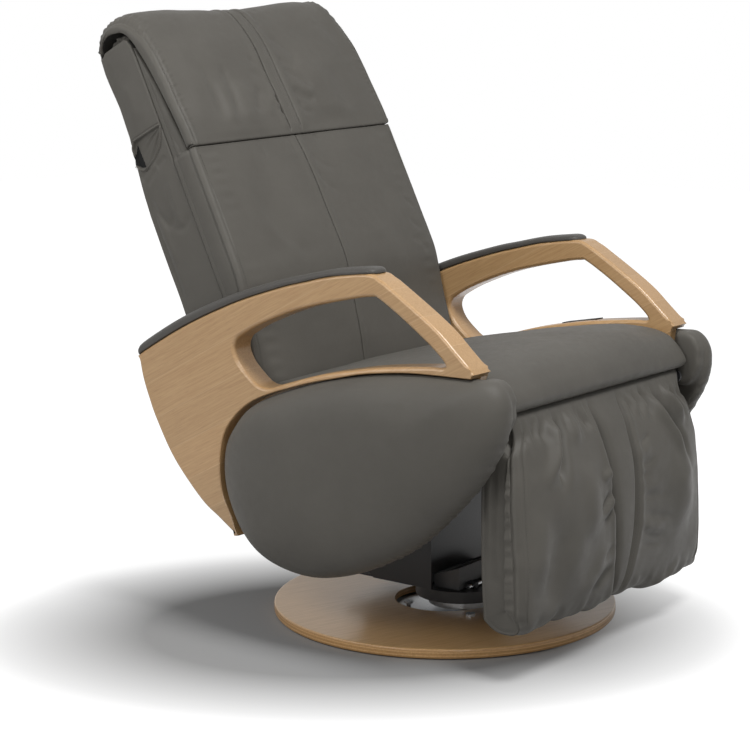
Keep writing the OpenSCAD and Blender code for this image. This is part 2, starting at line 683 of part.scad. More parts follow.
module actuator_bars() {
    color("silver")
        for (share = [recline_rear_share, leg_rear_share]) {
            bar(mm(-0.082), mm(0.082), share, pin_radius);
            bar(mm(-0.085), mm(-0.082), share, 0.008 * unit);
            bar(mm(0.082), mm(0.085), share, 0.008 * unit);
        }
}

module back_frame() {
    color("black")
        leaning()
            difference() {
                union() {
                    both_arms()
                        union() {
                            plate(side_mm(0.230), side_mm(0.256), back_member_shares);
                            translate([side_mm(0.230), hinge_u, hinge_w])
                                rotate([0, 90, 0])
                                    cylinder(h = mm(0.026), r = mm(0.020));
                            plate(side_mm(0.230), side_mm(0.256), [[0.054, -0.010], [0.0765, -0.014],
                                [0.054, 0.060]]);
                        }
                    for (row = back_bar_shares)
                        block(row);
                }
                both_arms()
                    translate([side_mm(0.220), hinge_u, hinge_w])
                        rotate([0, 90, 0])
                            cylinder(h = mm(0.050), r = mm(0.006) + running_gap);
                for (x = [-rail_offset, rail_offset])
                    translate([x, mm(0.045), mm(0.034)])
                        cylinder(h = mm(0.570) - mm(0.034), r = mm(0.006) + running_gap);
                translate([0, mm(0.045), mm(0.034)])
                    cylinder(h = mm(0.570) - mm(0.034), r = mm(0.005) + running_gap);
            }
}

module recline_lever() {
    near = recline_front_share + [0.0001, 0.0002];
    color("black")
        difference() {
            leaning()
                for (x = mm([-0.056, -0.026]))
                    plate(x, x + mm(0.006), lever_shares);
            slot(mm(-0.060), mm(-0.010), near, near + [-0.0040, 0.0012], pin_radius + 2 * rest_gap);
        }
}

module back_cushion() {
    color("gray")
        leaning()
            strip_skin([for (s = both_ways(cushion_station_shares)) let (x = s[0] * s[1][0])
                ring(sloped(mm(back_shares), x * back_half_width), x * back_half_width,
                    -s[1][1] * unit * 0.45,
                    back_crown * (1 - x * x))]);
}

module head_block() {
    color("gray")
        leaning()
            plate(side_mm(-0.235), side_mm(0.235), head_shares);
}

module back_rear_panel() {
    color("dimgray")
        leaning()
            plate(-panel_inner, panel_inner, rear_panel_shares);
}

module back_side_shape() {
    leaning()
        difference() {
            plate(panel_outer - panel_thickness, panel_outer, back_side_shares);
            plate(side_mm(0.250), side_mm(0.300), hand_hold_shares);
        }
}

module back_side_right() {
    color("dimgray")
        mirror([1, 0, 0])
            back_side_shape();
}

module back_side_left() {
    color("dimgray")
        back_side_shape();
}

module headrest_flap() {
    color("gray")
        leaning()
            strip_skin([for (s = both_sides(flap_station_shares))
                let (x = s[0] * s[1][0] * flap_half_width)
                ring(sloped(mm(flap_shares), x), x, -s[1][1] * unit, 0)]);
}

module massage_rails() {
    color("silver")
        leaning()
            for (x = [-rail_offset, rail_offset])
                translate([x, mm(0.045), mm(0.034)])
                    cylinder(h = mm(0.570) - mm(0.034), r = mm(0.006));
}

module lead_screw() {
    color("silver")
        leaning()
            translate([0, mm(0.045), mm(0.034)])
                cylinder(h = mm(0.570) - mm(0.034), r = mm(0.005));
}

module lift_motor() {
    color("dimgray")
        leaning()
            difference() {
                union() {
                    block([-0.020, 0.020, 0.024, 0.066, 0.046, 0.062]);
                    translate([0, mm(0.080), mm(0.046)])
                        cylinder(h = mm(0.060), r = mm(0.017));
                }
                translate([0, mm(0.045), 0])
                    cylinder(h = mm(0.1), r = mm(0.005) + running_gap);
            }
}

module massage_carriage() {
    color("silver")
        leaning()
            difference() {
                union() {
                    block([-0.080, 0.080, 0.033, 0.057, 0.270, 0.330]);
                    block([-0.034, 0.034, 0.056, 0.068, 0.276, 0.324]);
                }
                for (x = [-rail_offset, rail_offset])
                    translate([x, mm(0.045), 0])
                        cylinder(h = mm(1), r = mm(0.006) + running_gap);
                translate([0, mm(0.045), 0])
                    cylinder(h = mm(1), r = mm(0.005) + running_gap);
                bar(mm(-0.1), mm(0.1), [0.062, 0.300], mm(0.004) + running_gap);
            }
}

module massage_shaft() {
    color("silver")
        leaning() {
            bar(mm(-0.0935), mm(0.0935), [0.062, 0.300], mm(0.004));
            for (x = mm([-0.0965, 0.0935]))
                bar(x, x + mm(0.003), [0.062, 0.300], mm(0.007));
        }
}

module knead_motor() {
    color("dimgray")
        leaning()
            translate([0, mm(0.068), mm(0.300)])
                rotate([-90, 0, 0])
                    cylinder(h = mm(0.030), r = mm(0.022));
}

module massage_arm_shape() {
    leaning()
        difference() {
            union() {
                plate(mm(0.0855), mm(0.0925), [[0.052, 0.300], [0.032, 0.226], [0.044, 0.226],
                    [0.072, 0.300], [0.044, 0.374], [0.032, 0.374]]);
                bar(mm(0.0855), mm(0.0925), [0.062, 0.300], mm(0.012));
                for (w = [0.230, 0.370])
                    union() {
                        bar(mm(0.0855), mm(0.0925), [0.038, w], mm(0.009));
                        bar(mm(0.0925) - rest_gap, mm(0.124), [0.038, w], mm(0.004));
                        bar(mm(0.1205), mm(0.124), [0.038, w], mm(0.007));
                    }
            }
            bar(mm(0.080), mm(0.1), [0.062, 0.300], mm(0.004) + running_gap);
        }
}

module massage_arm_right() {
    color("silver")
        mirror([1, 0, 0])
            massage_arm_shape();
}

module massage_arm_left() {
    color("silver")
        massage_arm_shape();
}

module roller(side, w) {
    color("dimgray")
        leaning()
            difference() {
                union() {
                    bar(side > 0 ? mm(0.0945) : mm(-0.1200), side > 0 ? mm(0.1200) : mm(-0.0945),
                        [0.038, w], mm(0.013));
                    bar(side > 0 ? mm(0.1000) : mm(-0.1145), side > 0 ? mm(0.1145) : mm(-0.1000),
                        [0.038, w], mm(0.016));
                }
                bar(mm(-0.2), mm(0.2), [0.038, w], mm(0.004) + running_gap);
            }
}

module roller_right_upper() {
    roller(-1, 0.370);
}

module roller_right_lower() {
    roller(-1, 0.230);
}

module roller_left_upper() {
    roller(1, 0.370);
}

module roller_left_lower() {
    roller(1, 0.230);
}

module leg_rest_frame() {
    color("black")
        difference() {
            union() {
                for (row = leg_bar_shares)
                    block(row);
                bar(side_mm(-0.262), side_mm(0.262), leg_hinge_share, mm(0.008));
            }
            both_arms()
                bar(side_mm(0.229), side_mm(0.270), leg_hinge_share, pin_radius + running_gap);
        }
}

module leg_rest_board() {
    color("tan")
        block(leg_board_shares);
}

module leg_rest_cover() {
    outline = mm(leg_shares);
    color("gray")
        difference() {
            skin([for (s = both_ways([for (i = [len(leg_station_shares) - 1:-1:0])
                leg_station_shares[i]])) [for (i = [0:len(outline) - 1]) let (
                    p = outline[i], d = outward(outline, i), row = s[1],
                    high = (p[1] - 0.075 * unit) / (0.36 * unit),
                    strip = strip_bottom + (strip_top - strip_bottom) * high,
                    face = p[0] < -0.335 * unit && p[1] > 0.08 * unit ? sin(high * 180) : 0,
                    m = row[2] * unit * face - row[3] * unit * (p[1] > 0.4 * unit ? 0.1 : 1),
                    edge = side_mm(p[2] / unit))
                [s[0] * (row[0] * strip + row[1] * (edge - strip)), p[0] + d[0] * m, p[1] + d[1] * m]]],
                mm(leg_middle_share));
            plate(side_mm(-0.2623), side_mm(0.2623), leg_pocket_shares);
            bar(side_mm(-0.300), side_mm(0.300), leg_hinge_share, mm(0.008) + rest_gap);
        }
}

module leg_lever() {
    near = leg_front_share + [0.0019, 0.0006];
    color("black")
        difference() {
            for (x = mm([0.020, 0.050]))
                plate(x, x + mm(0.006), leg_lever_shares);
            slot(mm(0), mm(0.1), near, near + [-0.0048, 0.0192], pin_radius + 0.0024 * unit);
        }
}

module drive_tube(length) {
    difference() {
        union() {
            translate([-0.012 * unit, 0, 0])
                rotate([0, 90, 0])
                    cylinder(h = 0.024 * unit, r = 0.011 * unit);
            block([-0.012, 0.012, 0, 0.024, -0.009, 0.009]);
            block([-0.018, 0.018, 0.022, 0.066, -0.018, 0.018]);
            reach(0.06 * unit, length, 0.014 * unit);
        }
        translate([-0.1 * unit, 0, 0])
            rotate([0, 90, 0])
                cylinder(h = 0.2 * unit, r = pin_radius + running_gap);
        reach(0.040 * unit, 2 * length, rod_radius + running_gap);
    }
}

module drive_motor(down) {
    translate([0, 0.044 * unit, down > 0 ? 0.018 * unit : -0.080 * unit])
        cylinder(h = (down > 0 ? 0.055 : 0.062) * unit, r = 0.017 * unit);
}

module drive_rod(inner, length) {
    reach(inner, length - 0.006 * unit, rod_radius);
    translate([-0.011 * unit, length, 0])
        rotate([0, 90, 0])
            cylinder(h = 0.022 * unit, r = 0.010 * unit);
    translate([-0.022 * unit, length, 0])
        rotate([0, 90, 0])
            cylinder(h = 0.044 * unit, r = pin_radius);
    for (x = mm([-0.022, 0.020]))
        translate([x, length, 0])
            rotate([0, 90, 0])
                cylinder(h = 0.002 * unit, r = 0.010 * unit);
}

module recline_tube() {
    color("dimgray")
        along(recline_rear_share, recline_front_share, -drive_offset)
            drive_tube(0.160 * unit);
}

module recline_motor() {
    color("dimgray")
        along(recline_rear_share, recline_front_share, -drive_offset)
            drive_motor(-1);
}

module recline_rod() {
    color("silver")
        along(recline_rear_share, recline_front_share, -drive_offset)
            drive_rod(0.100 * unit, norm(recline_front_share - recline_rear_share) * unit);
}

module leg_tube() {
    color("dimgray")
        along(leg_rear_share, leg_front_share, drive_offset)
            drive_tube(0.235 * unit);
}

module leg_motor() {
    color("dimgray")
        along(leg_rear_share, leg_front_share, drive_offset)
            drive_motor(1);
}

module leg_rod() {
    color("silver")
        along(leg_rear_share, leg_front_share, drive_offset)
            drive_rod(0.060 * unit, norm(leg_front_share - leg_rear_share) * unit);
}

floor_glides();
base_disc();
base_plate();
swivel_post();
base_screws();
bearing_ring();
swivel_hub();
hub_pin();
chassis_sides();
chassis_front();
chassis_floor();
control_box();
power_inlet();
seat_frame();
seat_board();
seat_cushion();
arm_right();
arm_left();
control_strip();
arm_pad_right();
arm_pad_left();
side_cushion_right();
side_cushion_left();
arm_bolts();
leg_pivot_pins();
back_pivot_pins();
back_pivot_bushes();
actuator_bars();
back_frame();
recline_lever();
back_cushion();
head_block();
back_rear_panel();
back_side_right();
back_side_left();
headrest_flap();
massage_rails();
lead_screw();
lift_motor();
massage_carriage();
massage_shaft();
knead_motor();
massage_arm_right();
massage_arm_left();
roller_right_upper();
roller_right_lower();
roller_left_upper();
roller_left_lower();
leg_rest_frame();
leg_rest_board();
leg_rest_cover();
leg_lever();
recline_tube();
recline_motor();
recline_rod();
leg_tube();
leg_motor();
leg_rod();
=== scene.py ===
import bpy, bmesh, json
from math import cos, pi, radians, sin, sqrt
import numpy as np
from numpy import array, clip, full, full_like, hypot, interp, linspace, repeat, stack, where, zeros
from mathutils import Vector, Matrix


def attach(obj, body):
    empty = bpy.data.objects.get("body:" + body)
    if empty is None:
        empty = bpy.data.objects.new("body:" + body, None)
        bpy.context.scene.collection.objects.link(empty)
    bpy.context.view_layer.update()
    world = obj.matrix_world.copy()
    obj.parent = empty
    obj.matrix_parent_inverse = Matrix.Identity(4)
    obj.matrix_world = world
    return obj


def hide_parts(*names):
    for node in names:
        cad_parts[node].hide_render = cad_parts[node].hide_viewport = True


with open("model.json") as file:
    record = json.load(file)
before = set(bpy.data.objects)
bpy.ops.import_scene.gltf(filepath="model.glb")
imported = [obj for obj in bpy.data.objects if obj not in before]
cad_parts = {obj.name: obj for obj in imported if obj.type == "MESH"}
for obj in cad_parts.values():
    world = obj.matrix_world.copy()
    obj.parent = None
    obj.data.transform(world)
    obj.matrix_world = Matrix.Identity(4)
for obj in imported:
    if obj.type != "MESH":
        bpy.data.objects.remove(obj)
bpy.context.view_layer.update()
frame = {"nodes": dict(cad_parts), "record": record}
nodes = frame["nodes"]
scene = bpy.context.scene


# ---- shape helpers
LEAN = radians(25.5)  # the backrest leans back about ORIGIN
ORIGIN = array([0, 0.165, 0.4])
DEPTH = array([0, cos(LEAN), -sin(LEAN)])
RISE = array([0, sin(LEAN), cos(LEAN)])


def mm(width, *numbers):
    """Table with rows of so many numbers, written in millimetres."""
    return np.round(np.reshape(numbers, (-1, width)) / 1000, 7)


def folds(lead, *rows):
    """Folds as (points, width, height), and the lean where rows lead with it."""
    return [(mm(2, *row[lead + 2:]), *mm(1, *row[lead:lead + 2])[:, 0], *row[:lead]) for row in rows]


def hand(side):
    return "left" if side > 0 else "right"


def both(build):
    for side in (-1, 1):
        build(side)


def ease(x, a, b):
    t = clip((x - a) / (b - a), 0, 1)
    return t * t * (3 - 2 * t)


def bell(x, width):
    return np.exp(-(x / width) ** 2)


def ridges(x, *rows):
    """Sum of bells over x, rows of height, place and width in millimetres."""
    return sum(h * bell(x - c, w) for h, c, w in mm(3, *sum(rows, ())))


def runs(*parts):
    """Even runs of numbers, parts of (first, last, count), one after the other."""
    return np.concatenate([linspace(*part) for part in parts])


def mirrored(x, sign=-1):
    """Numbers that fall to 0, continued the other way with the first half's sign."""
    return np.r_[sign * x, x[::-1][1:]]


def lengths(p):
    """How far along a line each of its points lies."""
    return np.r_[0, np.cumsum(np.linalg.norm(np.diff(p, axis=0), axis=1))]


def at(s, t, p):
    """The points at the places s of a line that has its points p at the places t."""
    return stack([interp(s, t, p[:, k]) for k in range(p.shape[1])], -1)


def curve(points, steps, closed=False, corners=()):
    """Smooth line through points, sharp at the corners."""
    p = array(points, float)
    n = len(p)
    out = []
    for i in range(n if closed else n - 1):
        b, c = p[i], p[(i + 1) % n]
        a = p[i - 1] if (closed or i) and i not in corners else 2 * b - c
        d = p[(i + 2) % n] if (closed or i < n - 2) and (i + 1) % n not in corners else 2 * c - b
        for t in np.arange(steps) / steps:
            out.append(0.5 * (2 * b + (c - a) * t + (2 * a - 5 * b + 4 * c - d) * t * t
                              + (3 * b - a - 3 * c + d) * t ** 3))
    if not closed:
        out.append(p[-1])
    return array(out)


def even(p, count, closed=False):
    """The same line with its points spaced evenly."""
    if closed:
        p = np.vstack([p, p[:1]])
    s = lengths(p)
    t = linspace(0, s[-1], count + 1 if closed else count)
    return at(t[:-1] if closed else t, s, p)


def outward(p):
    """Unit directions that point out of a closed line that turns from first to second axis."""
    e = np.roll(p[:, :2], -1, 0) - np.roll(p[:, :2], 1, 0)
    e /= np.linalg.norm(e, axis=1)[:, None] + 1e-12
    d = stack([e[:, 1], -e[:, 0]], 1)
    area = np.sum(p[:, 0] * np.roll(p[:, 1], -1) - np.roll(p[:, 0], -1) * p[:, 1])
    return d if area > 0 else -d


def add_object(name, data):
    obj = bpy.data.objects.new(name, data)
    scene.collection.objects.link(obj)
    return obj


def edit(mesh, *steps):
    """Runs steps, each a function of a bmesh, on a mesh."""
    bm = bmesh.new()
    bm.from_mesh(mesh)
    for step in steps:
        step(bm)
    bm.to_mesh(mesh)
    bm.free()


def face_out(bm):
    bmesh.ops.recalc_face_normals(bm, faces=bm.faces)


def shade_smooth(mesh):
    mesh.polygons.foreach_set("use_smooth", [True] * len(mesh.polygons))


def make(name, verts, faces, material, body):
    mesh = bpy.data.meshes.new(name)
    mesh.from_pydata([tuple(v) for v in verts], [], faces)
    mesh.validate()
    edit(mesh, face_out)
    shade_smooth(mesh)
    obj = add_object(name, mesh)
    finish_piece(obj, material, body)
    return obj


def finish_piece(obj, material, body):
    obj.data.materials.clear()
    obj.data.materials.append(material)
    if body:
        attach(obj, body)


def grid_faces(n, m, close_u=False, close_v=False):
    i = np.arange(n if close_u else n - 1)[:, None]
    j = np.arange(m if close_v else m - 1)[None, :]
    i2, j2 = (i + 1) % n * m, (j + 1) % m
    return stack([i * m + j, i2 + j, i2 + j2, i * m + j2], -1).reshape(-1, 4).tolist()


def shell(name, g, material, body, caps="fan"):
    """Closed skin over a grid of rings g[i, j]; the end rings are closed with a fan, a strip or a face."""
    n, m = g.shape[:2]
    verts = g.reshape(-1, 3).tolist()
    faces = grid_faces(n, m, False, True)
    for ring in (0, n - 1):
        if caps == "fan":
            verts.append(g[ring].mean(0).tolist())
            c = len(verts) - 1
            for j in range(m):
                a, b = ring * m + j, ring * m + (j + 1) % m
                faces.append([c, a, b] if ring else [c, b, a])
        elif caps == "strip":
            for k in range(m // 2 - 1):
                faces.append([ring * m + k, ring * m + k + 1, ring * m + m - 2 - k, ring * m + m - 1 - k])
        elif caps == "face":
            faces.append([ring * m + j for j in range(m)])
    return make(name, verts, faces, material, body)


def fold(a, b, points, width, height, lean=0.0, fade=0.25):
    """Ridge, or valley if height is below zero, along a line through points in the (a, b) plane."""
    line = curve(points, 8)
    t = linspace(0, 1, len(line))
    best = full(a.shape, 1e9)
    side = zeros(a.shape)
    along = zeros(a.shape)
    for k in range(len(line) - 1):
        p, q = line[k], line[k + 1]
        e = q - p
        l2 = max(e @ e, 1e-12)
        s = clip(((a - p[0]) * e[0] + (b - p[1]) * e[1]) / l2, 0, 1)
        da, db = a - p[0] - s * e[0], b - p[1] - s * e[1]
        d = hypot(da, db)
        near = d < best
        best = where(near, d, best)
        side = where(near, (e[0] * db - e[1] * da) / sqrt(l2), side)
        along = where(near, t[k] + s * (t[k + 1] - t[k]), along)
    shape = bell(best, width) * (1 + lean * np.tanh(side / width))
    return height * shape * ease(along, -0.01, fade) * ease(-along, -1.01, -1 + fade)


def creased(a, b, rows, wide=1, tall=1):
    """Sum of folds that lean a little, all made wider and taller by a factor."""
    return sum(fold(a, b, line, width * wide, height * tall, 0.3) for line, width, height in rows)


def wave(x, rows):
    """Sum of sine waves, rows of (wavelength, height, phase)."""
    return sum(h * np.sin(2 * pi * x / w + p) for w, h, p in rows)


def drift(a, b, size, seed):
    """Smooth random field over the (a, b) plane, about -1 to 1."""
    rng = np.random.default_rng(seed)
    table = rng.uniform(-1, 1, (64, 64))
    x, y = np.asarray(a) / size + 20.0, np.asarray(b) / size + 20.0
    i, j = np.floor(x).astype(int), np.floor(y).astype(int)
    u, v = x - i, y - j
    u, v = u * u * (3 - 2 * u), v * v * (3 - 2 * v)
    t = lambda p, q: table[p % 64, q % 64]
    return (t(i, j) * (1 - u) + t(i + 1, j) * u) * (1 - v) + (t(i, j + 1) * (1 - u) + t(i + 1, j + 1) * u) * v


def stitches(name, line, normal, body, pitch=0.0048, length=0.0032, radius=0.00042):
    """Row of thread stitches along a line on a surface, with one normal or one for each point."""
    s, normal = lengths(line), np.broadcast_to(normal, line.shape)
    verts, faces = [], []
    for c in np.arange(pitch / 2, s[-1], pitch):
        p, q = (at(max(min(c + k * length / 2, s[-1]), 0), s, line) for k in (-1, 1))
        n = at(c, s, normal)
        e = (q - p) / (np.linalg.norm(q - p) + 1e-12)
        n /= np.linalg.norm(n) + 1e-12
        w = np.cross(e, n)
        start = len(verts)
        for t, r in ((0.0, 0.35), (0.25, 1.0), (0.75, 1.0), (1.0, 0.35)):
            centre = p + (q - p) * t + n * radius * (0.5 if 0 < t < 1 else -0.2)
            for k in range(6):
                g = k * pi / 3
                verts.append(centre + radius * r * (cos(g) * w + sin(g) * n))
        for ring in (0, 6, 12):
            for k in range(6):
                a, b = start + ring + k, start + ring + (k + 1) % 6
                faces.append([a, b, b + 6, a + 6])
        faces.append([start + k for k in range(6)][::-1])
        faces.append([start + 18 + k for k in range(6)])
    return make(name, verts, faces, THREAD, body)


# ---- materials
def feed(t, socket, value):
    """Gives a socket a value of its own, or the output of another node."""
    if isinstance(value, bpy.types.NodeSocket):
        t.links.new(value, socket)
    else:
        socket.default_value = value


def put(t, n, **values):
    for key, value in values.items():
        feed(t, n.inputs[key.replace("_", " ")], value)


def node(t, kind, fed=None, **settings):
    n = t.nodes.new("ShaderNode" + kind)
    for key, value in settings.items():
        setattr(n, key, value)
    put(t, n, **(fed or {}))
    return n


def material(name):
    m = bpy.data.materials.new(name)
    m.use_nodes = True
    t = m.node_tree
    t.nodes.clear()
    out = node(t, "OutputMaterial")
    bsdf = node(t, "BsdfPrincipled")
    t.links.new(bsdf.outputs[0], out.inputs[0])
    return m, t, bsdf


def mapped(t, scale=(1, 1, 1), turn=(0, 0, 0), shift=(0, 0, 0)):
    """Object coordinates, turned and then scaled and shifted."""
    coord = node(t, "TexCoord").outputs["Object"]
    turned = node(t, "Mapping", dict(Rotation=turn, Vector=coord)).outputs[0]
    return node(t, "Mapping", dict(Location=shift, Scale=scale, Vector=turned)).outputs[0]


def noise(t, vector, scale, detail=3.0, rough=0.5, distortion=0.0):
    fed = dict(Scale=scale, Detail=detail, Roughness=rough, Distortion=distortion, Vector=vector)
    return node(t, "TexNoise", fed).outputs["Fac"]


def ramp(t, value, *stops):
    """Colour ramp with stops of (place, colour or grey)."""
    n = node(t, "ValToRGB")
    while len(n.color_ramp.elements) < len(stops):
        n.color_ramp.elements.new(0.5)
    for e, (place, colour) in zip(n.color_ramp.elements, stops):
        e.position = place
        e.color = (*colour, 1) if isinstance(colour, tuple) else (colour, colour, colour, 1)
    t.links.new(value, n.inputs["Fac"])
    return n.outputs["Color"]


def mix(t, factor, a, b, blend="MIX"):
    n = node(t, "Mix", data_type="RGBA", blend_type=blend)
    for key, value in ((0, factor), (6, a), (7, b)):
        feed(t, n.inputs[key], (*value, 1) if isinstance(value, tuple) else value)
    return n.outputs[2]


def maths(t, operation, a, b=0.0):
    n = node(t, "Math", operation=operation)
    feed(t, n.inputs[0], a)
    feed(t, n.inputs[1], b)
    return n.outputs[0]


def separate(t, vector):
    return node(t, "SeparateXYZ", dict(Vector=vector)).outputs["Z"]


def bump(t, bsdf, *heights):
    """Chain of bumps, rows of (height, distance in metres, strength)."""
    last = {}
    for height, distance, strength in heights:
        n = node(t, "Bump", dict(Strength=strength, Distance=distance, Height=height, **last))
        last = dict(Normal=n.outputs["Normal"])
    put(t, bsdf, **last)


def leather(name, colour, rough=0.54):
    m, t, bsdf = material(name)
    v = mapped(t)
    broad = noise(t, v, 9, 3)
    cells = node(t, "TexVoronoi", dict(Scale=620.0, Vector=v), feature="DISTANCE_TO_EDGE")
    grain = ramp(t, cells.outputs["Distance"], (0, 0), (0.22, 1))
    fine = noise(t, v, 900, 2)
    skin = noise(t, v, 70, 4, 0.6)
    dark, light, pit = (tuple(c * k for c in colour) for k in (0.9, 1.07, 0.72))
    tone = mix(t, ramp(t, broad, (0.3, 0), (0.7, 1)), dark, light)
    tone = mix(t, 0.16, tone, mix(t, grain, pit, colour))
    rough = ramp(t, skin, (0.25, rough - 0.06), (0.75, rough + 0.08))
    put(t, bsdf, Base_Color=tone, Roughness=rough, Specular_IOR_Level=0.3, Sheen_Weight=0.05, Sheen_Roughness=0.5)
    bump(t, bsdf, (grain, 0.00018, 0.35), (fine, 0.0001, 0.25), (skin, 0.0006, 0.3))
    return m


def beech(name, turn, dark, light, plank=0.062, ply=False):
    """Beech with its grain along the turned X axis; ply adds its glued layers on upright faces."""
    m, t, bsdf = material(name)
    streak = noise(t, mapped(t, (2.2, 60, 60), turn), 6, 6, 0.62, 0.35)
    fleck = noise(t, mapped(t, (26, 420, 420), turn), 1.6, 2)
    board = separate(t, mapped(t, (0.35, 1.0 / plank, 1.0 / plank), turn))
    cell = maths(t, "FLOOR", board)
    white = node(t, "TexWhiteNoise", dict(W=cell), noise_dimensions="1D")
    edge = maths(t, "LESS_THAN", maths(t, "FRACT", board), 0.018)
    tone = mix(t, ramp(t, streak, (0.28, 0), (0.72, 1)), dark, light)
    plank_tone = ramp(t, white.outputs["Value"], (0, (0.9, 0.9, 0.89)), (1, (1.06, 1.05, 1.04)))
    tone = mix(t, 1.0, tone, plank_tone, "MULTIPLY")
    fleck_tone = ramp(t, fleck, (0.3, (0.8, 0.76, 0.72)), (0.42, 1))
    tone = mix(t, 0.55, tone, mix(t, 1.0, tone, fleck_tone, "MULTIPLY"))
    tone = mix(t, maths(t, "MULTIPLY", edge, 0.28), tone, (0.72, 0.52, 0.32))
    if ply:
        height = separate(t, mapped(t))
        up_part = separate(t, node(t, "NewGeometry").outputs["Normal"])
        flat = maths(t, "LESS_THAN", maths(t, "ABSOLUTE", up_part), 0.6)
        layer = maths(t, "FRACT", maths(t, "MULTIPLY", height, 1 / 0.0057))
        glue = (0.55, 0.47, 0.38)
        stripe = ramp(t, layer, (0, glue), (0.1, 1), (0.45, (1, 0.98, 0.95)), (0.52, (0.78, 0.7, 0.6)),
                      (0.94, (0.8, 0.72, 0.62)), (1, glue))
        tone = mix(t, flat, tone, mix(t, 1.0, tone, stripe, "MULTIPLY"))
    put(t, bsdf, Base_Color=tone, Roughness=0.36, Coat_Weight=0.35, Coat_Roughness=0.18)
    bump(t, bsdf, (streak, 0.0003, 0.12), (fleck, 0.00012, 0.15))
    return m


def plain(name, colour, rough, metal=0.0, grain=300.0, height=0.00012, vary=0.12):
    m, t, bsdf = material(name)
    v = mapped(t)
    big = noise(t, v, 14, 4)
    small = noise(t, v, grain, 3)
    dark, light = (tuple(min(1, c * (1 + k)) for c in colour) for k in (-vary, vary))
    tone = mix(t, ramp(t, big, (0.3, 0), (0.7, 1)), dark, light)
    rough = ramp(t, small, (0.2, max(rough - 0.07, 0.02)), (0.8, min(rough + 0.07, 1)))
    put(t, bsdf, Base_Color=tone, Roughness=rough, Metallic=metal)
    bump(t, bsdf, (small, height, 0.3))
    return m


GRAIN = radians(27)  # the arms' grain rises to the front
LEATHER = leather("leather", (0.104, 0.097, 0.084))
# painted shade: near-black leather for the faces in the hand-hold gap
GAP_SHADE_SHEET = leather("gap_painted_shade", (0.006, 0.006, 0.006), 0.8)
PAD = leather("pad_leather", (0.078, 0.073, 0.066), 0.42)
THREAD = plain("thread", (0.115, 0.107, 0.094), 0.7, grain=900.0)
ARM_WOOD = beech("beech_arm", (GRAIN, 0, radians(90)), (0.445, 0.258, 0.112), (0.575, 0.368, 0.18))
# painted light: the base beech has lighter tones than the arm beech, to make up for the shade the chair casts on the
# base
LIGHTENED_BASE_WOOD = beech("beech_base_painted_light", (0, 0, 0.35), (0.58, 0.34, 0.14), (0.78, 0.5, 0.24), plank=0.075, ply=True)
SLOTS = {"beech": ARM_WOOD, "leather": LEATHER,
         "plywood": beech("plywood", (0, 0, 0), (0.45, 0.3, 0.17), (0.55, 0.38, 0.23))}
for name, *looks in (("foam", (0.05, 0.048, 0.045), 0.9), ("black_metal", (0.012, 0.012, 0.013), 0.42),
                     ("steel", (0.52, 0.53, 0.54), 0.32, 1.0), ("chrome", (0.78, 0.79, 0.8), 0.1, 1.0, 300.0, 0.00002),
                     ("grey_plastic", (0.085, 0.085, 0.086), 0.5), ("black_plastic", (0.016, 0.016, 0.017), 0.48),
                     ("black_rubber", (0.02, 0.02, 0.02), 0.8)):
    SLOTS[name] = plain(name, *looks)


# ---- wooden arms
ARM = mm(2, 196, 176, 202, 176, 240, 200, 283, 228, 345, 292, 386, 358, 404, 397, 417, 432, 425, 470, 413, 479,
    359, 509, 312, 533, 252, 560, 178, 589, 92, 616, 48, 627, -12, 641, -90, 651, -118, 643, -147, 626, -202, 591,
    -237, 566, -267, 539, -294, 515, -300, 507, -294, 500, -285, 440, -262, 380, -215, 325, -140, 285, -40, 262,
    60, 250, 130, 215, 170, 186)
HOLE = mm(2, -243, 520, -240, 513, -206, 511, -117, 501, -54, 490, 15, 475, 91, 452, 120, 443, 144, 445, 166, 460,
    187, 480, 197, 501, 193, 517, 180, 528, 135, 551, 48, 583, -61, 608, -100, 614, -113, 612, -155, 587,
    -196, 559, -223, 539)
RECESS = mm(2, -310, 500, -400, 500, -400, 100, 129, 100, 191, 165, 210, 205, 231, 250, 234, 316, 213, 369,
    155, 418, 51, 455, -24, 474, -83, 487, -154, 496, -210, 499)
INNER, OUTER, LAYER = 0.292, 0.341, 0.02


def ring_at(line, x, push):
    d = outward(line)
    return stack([full(len(line), x), line[:, 0] + d[:, 0] * push, line[:, 1] + d[:, 1] * push], 1)


def solid(line, rows, crisp=()):
    """Mesh through rings of one outline, rows of (x, push); the push fades out at the crisp points."""
    share = np.ones(len(line))
    for y, z in crisp:
        share = np.minimum(share, hypot(line[:, 0] - y, line[:, 1] - z) / 0.009)
    g = stack([ring_at(line, x, push * share) for x, push in rows])
    n, m = g.shape[:2]
    mesh = bpy.data.meshes.new("solid")
    faces = grid_faces(n, m, False, True) + [list(range(m)), [(n - 1) * m + j for j in range(m)]]
    mesh.from_pydata(g.reshape(-1, 3).tolist(), [], faces)
    edit(mesh, lambda bm: bmesh.ops.triangulate(bm, faces=[f for f in bm.faces if len(f.verts) > 4]), face_out)
    return add_object("solid", mesh)


def cut(obj, tools):
    for tool in tools:
        mod = obj.modifiers.new("cut", "BOOLEAN")
        mod.operation, mod.solver, mod.object = "DIFFERENCE", "MANIFOLD", tool
    bake(obj)
    for tool in tools:
        bpy.data.objects.remove(tool)


def bake(obj):
    """Applies an object's modifiers to its mesh."""
    bpy.context.view_layer.update()
    dg = bpy.context.evaluated_depsgraph_get()
    mesh = bpy.data.meshes.new_from_object(obj.evaluated_get(dg))
    old = obj.data
    obj.modifiers.clear()
    obj.data = mesh
    bpy.data.meshes.remove(old)


def sharp(obj, angle=32):
    """Smooth shading that stays flat on flat faces and crisp at corners."""
    shade_smooth(obj.data)
    obj.data.set_sharp_from_angle(angle=radians(angle))
    mod = obj.modifiers.new("weighted", "WEIGHTED_NORMAL")
    mod.keep_sharp = True
    bake(obj)


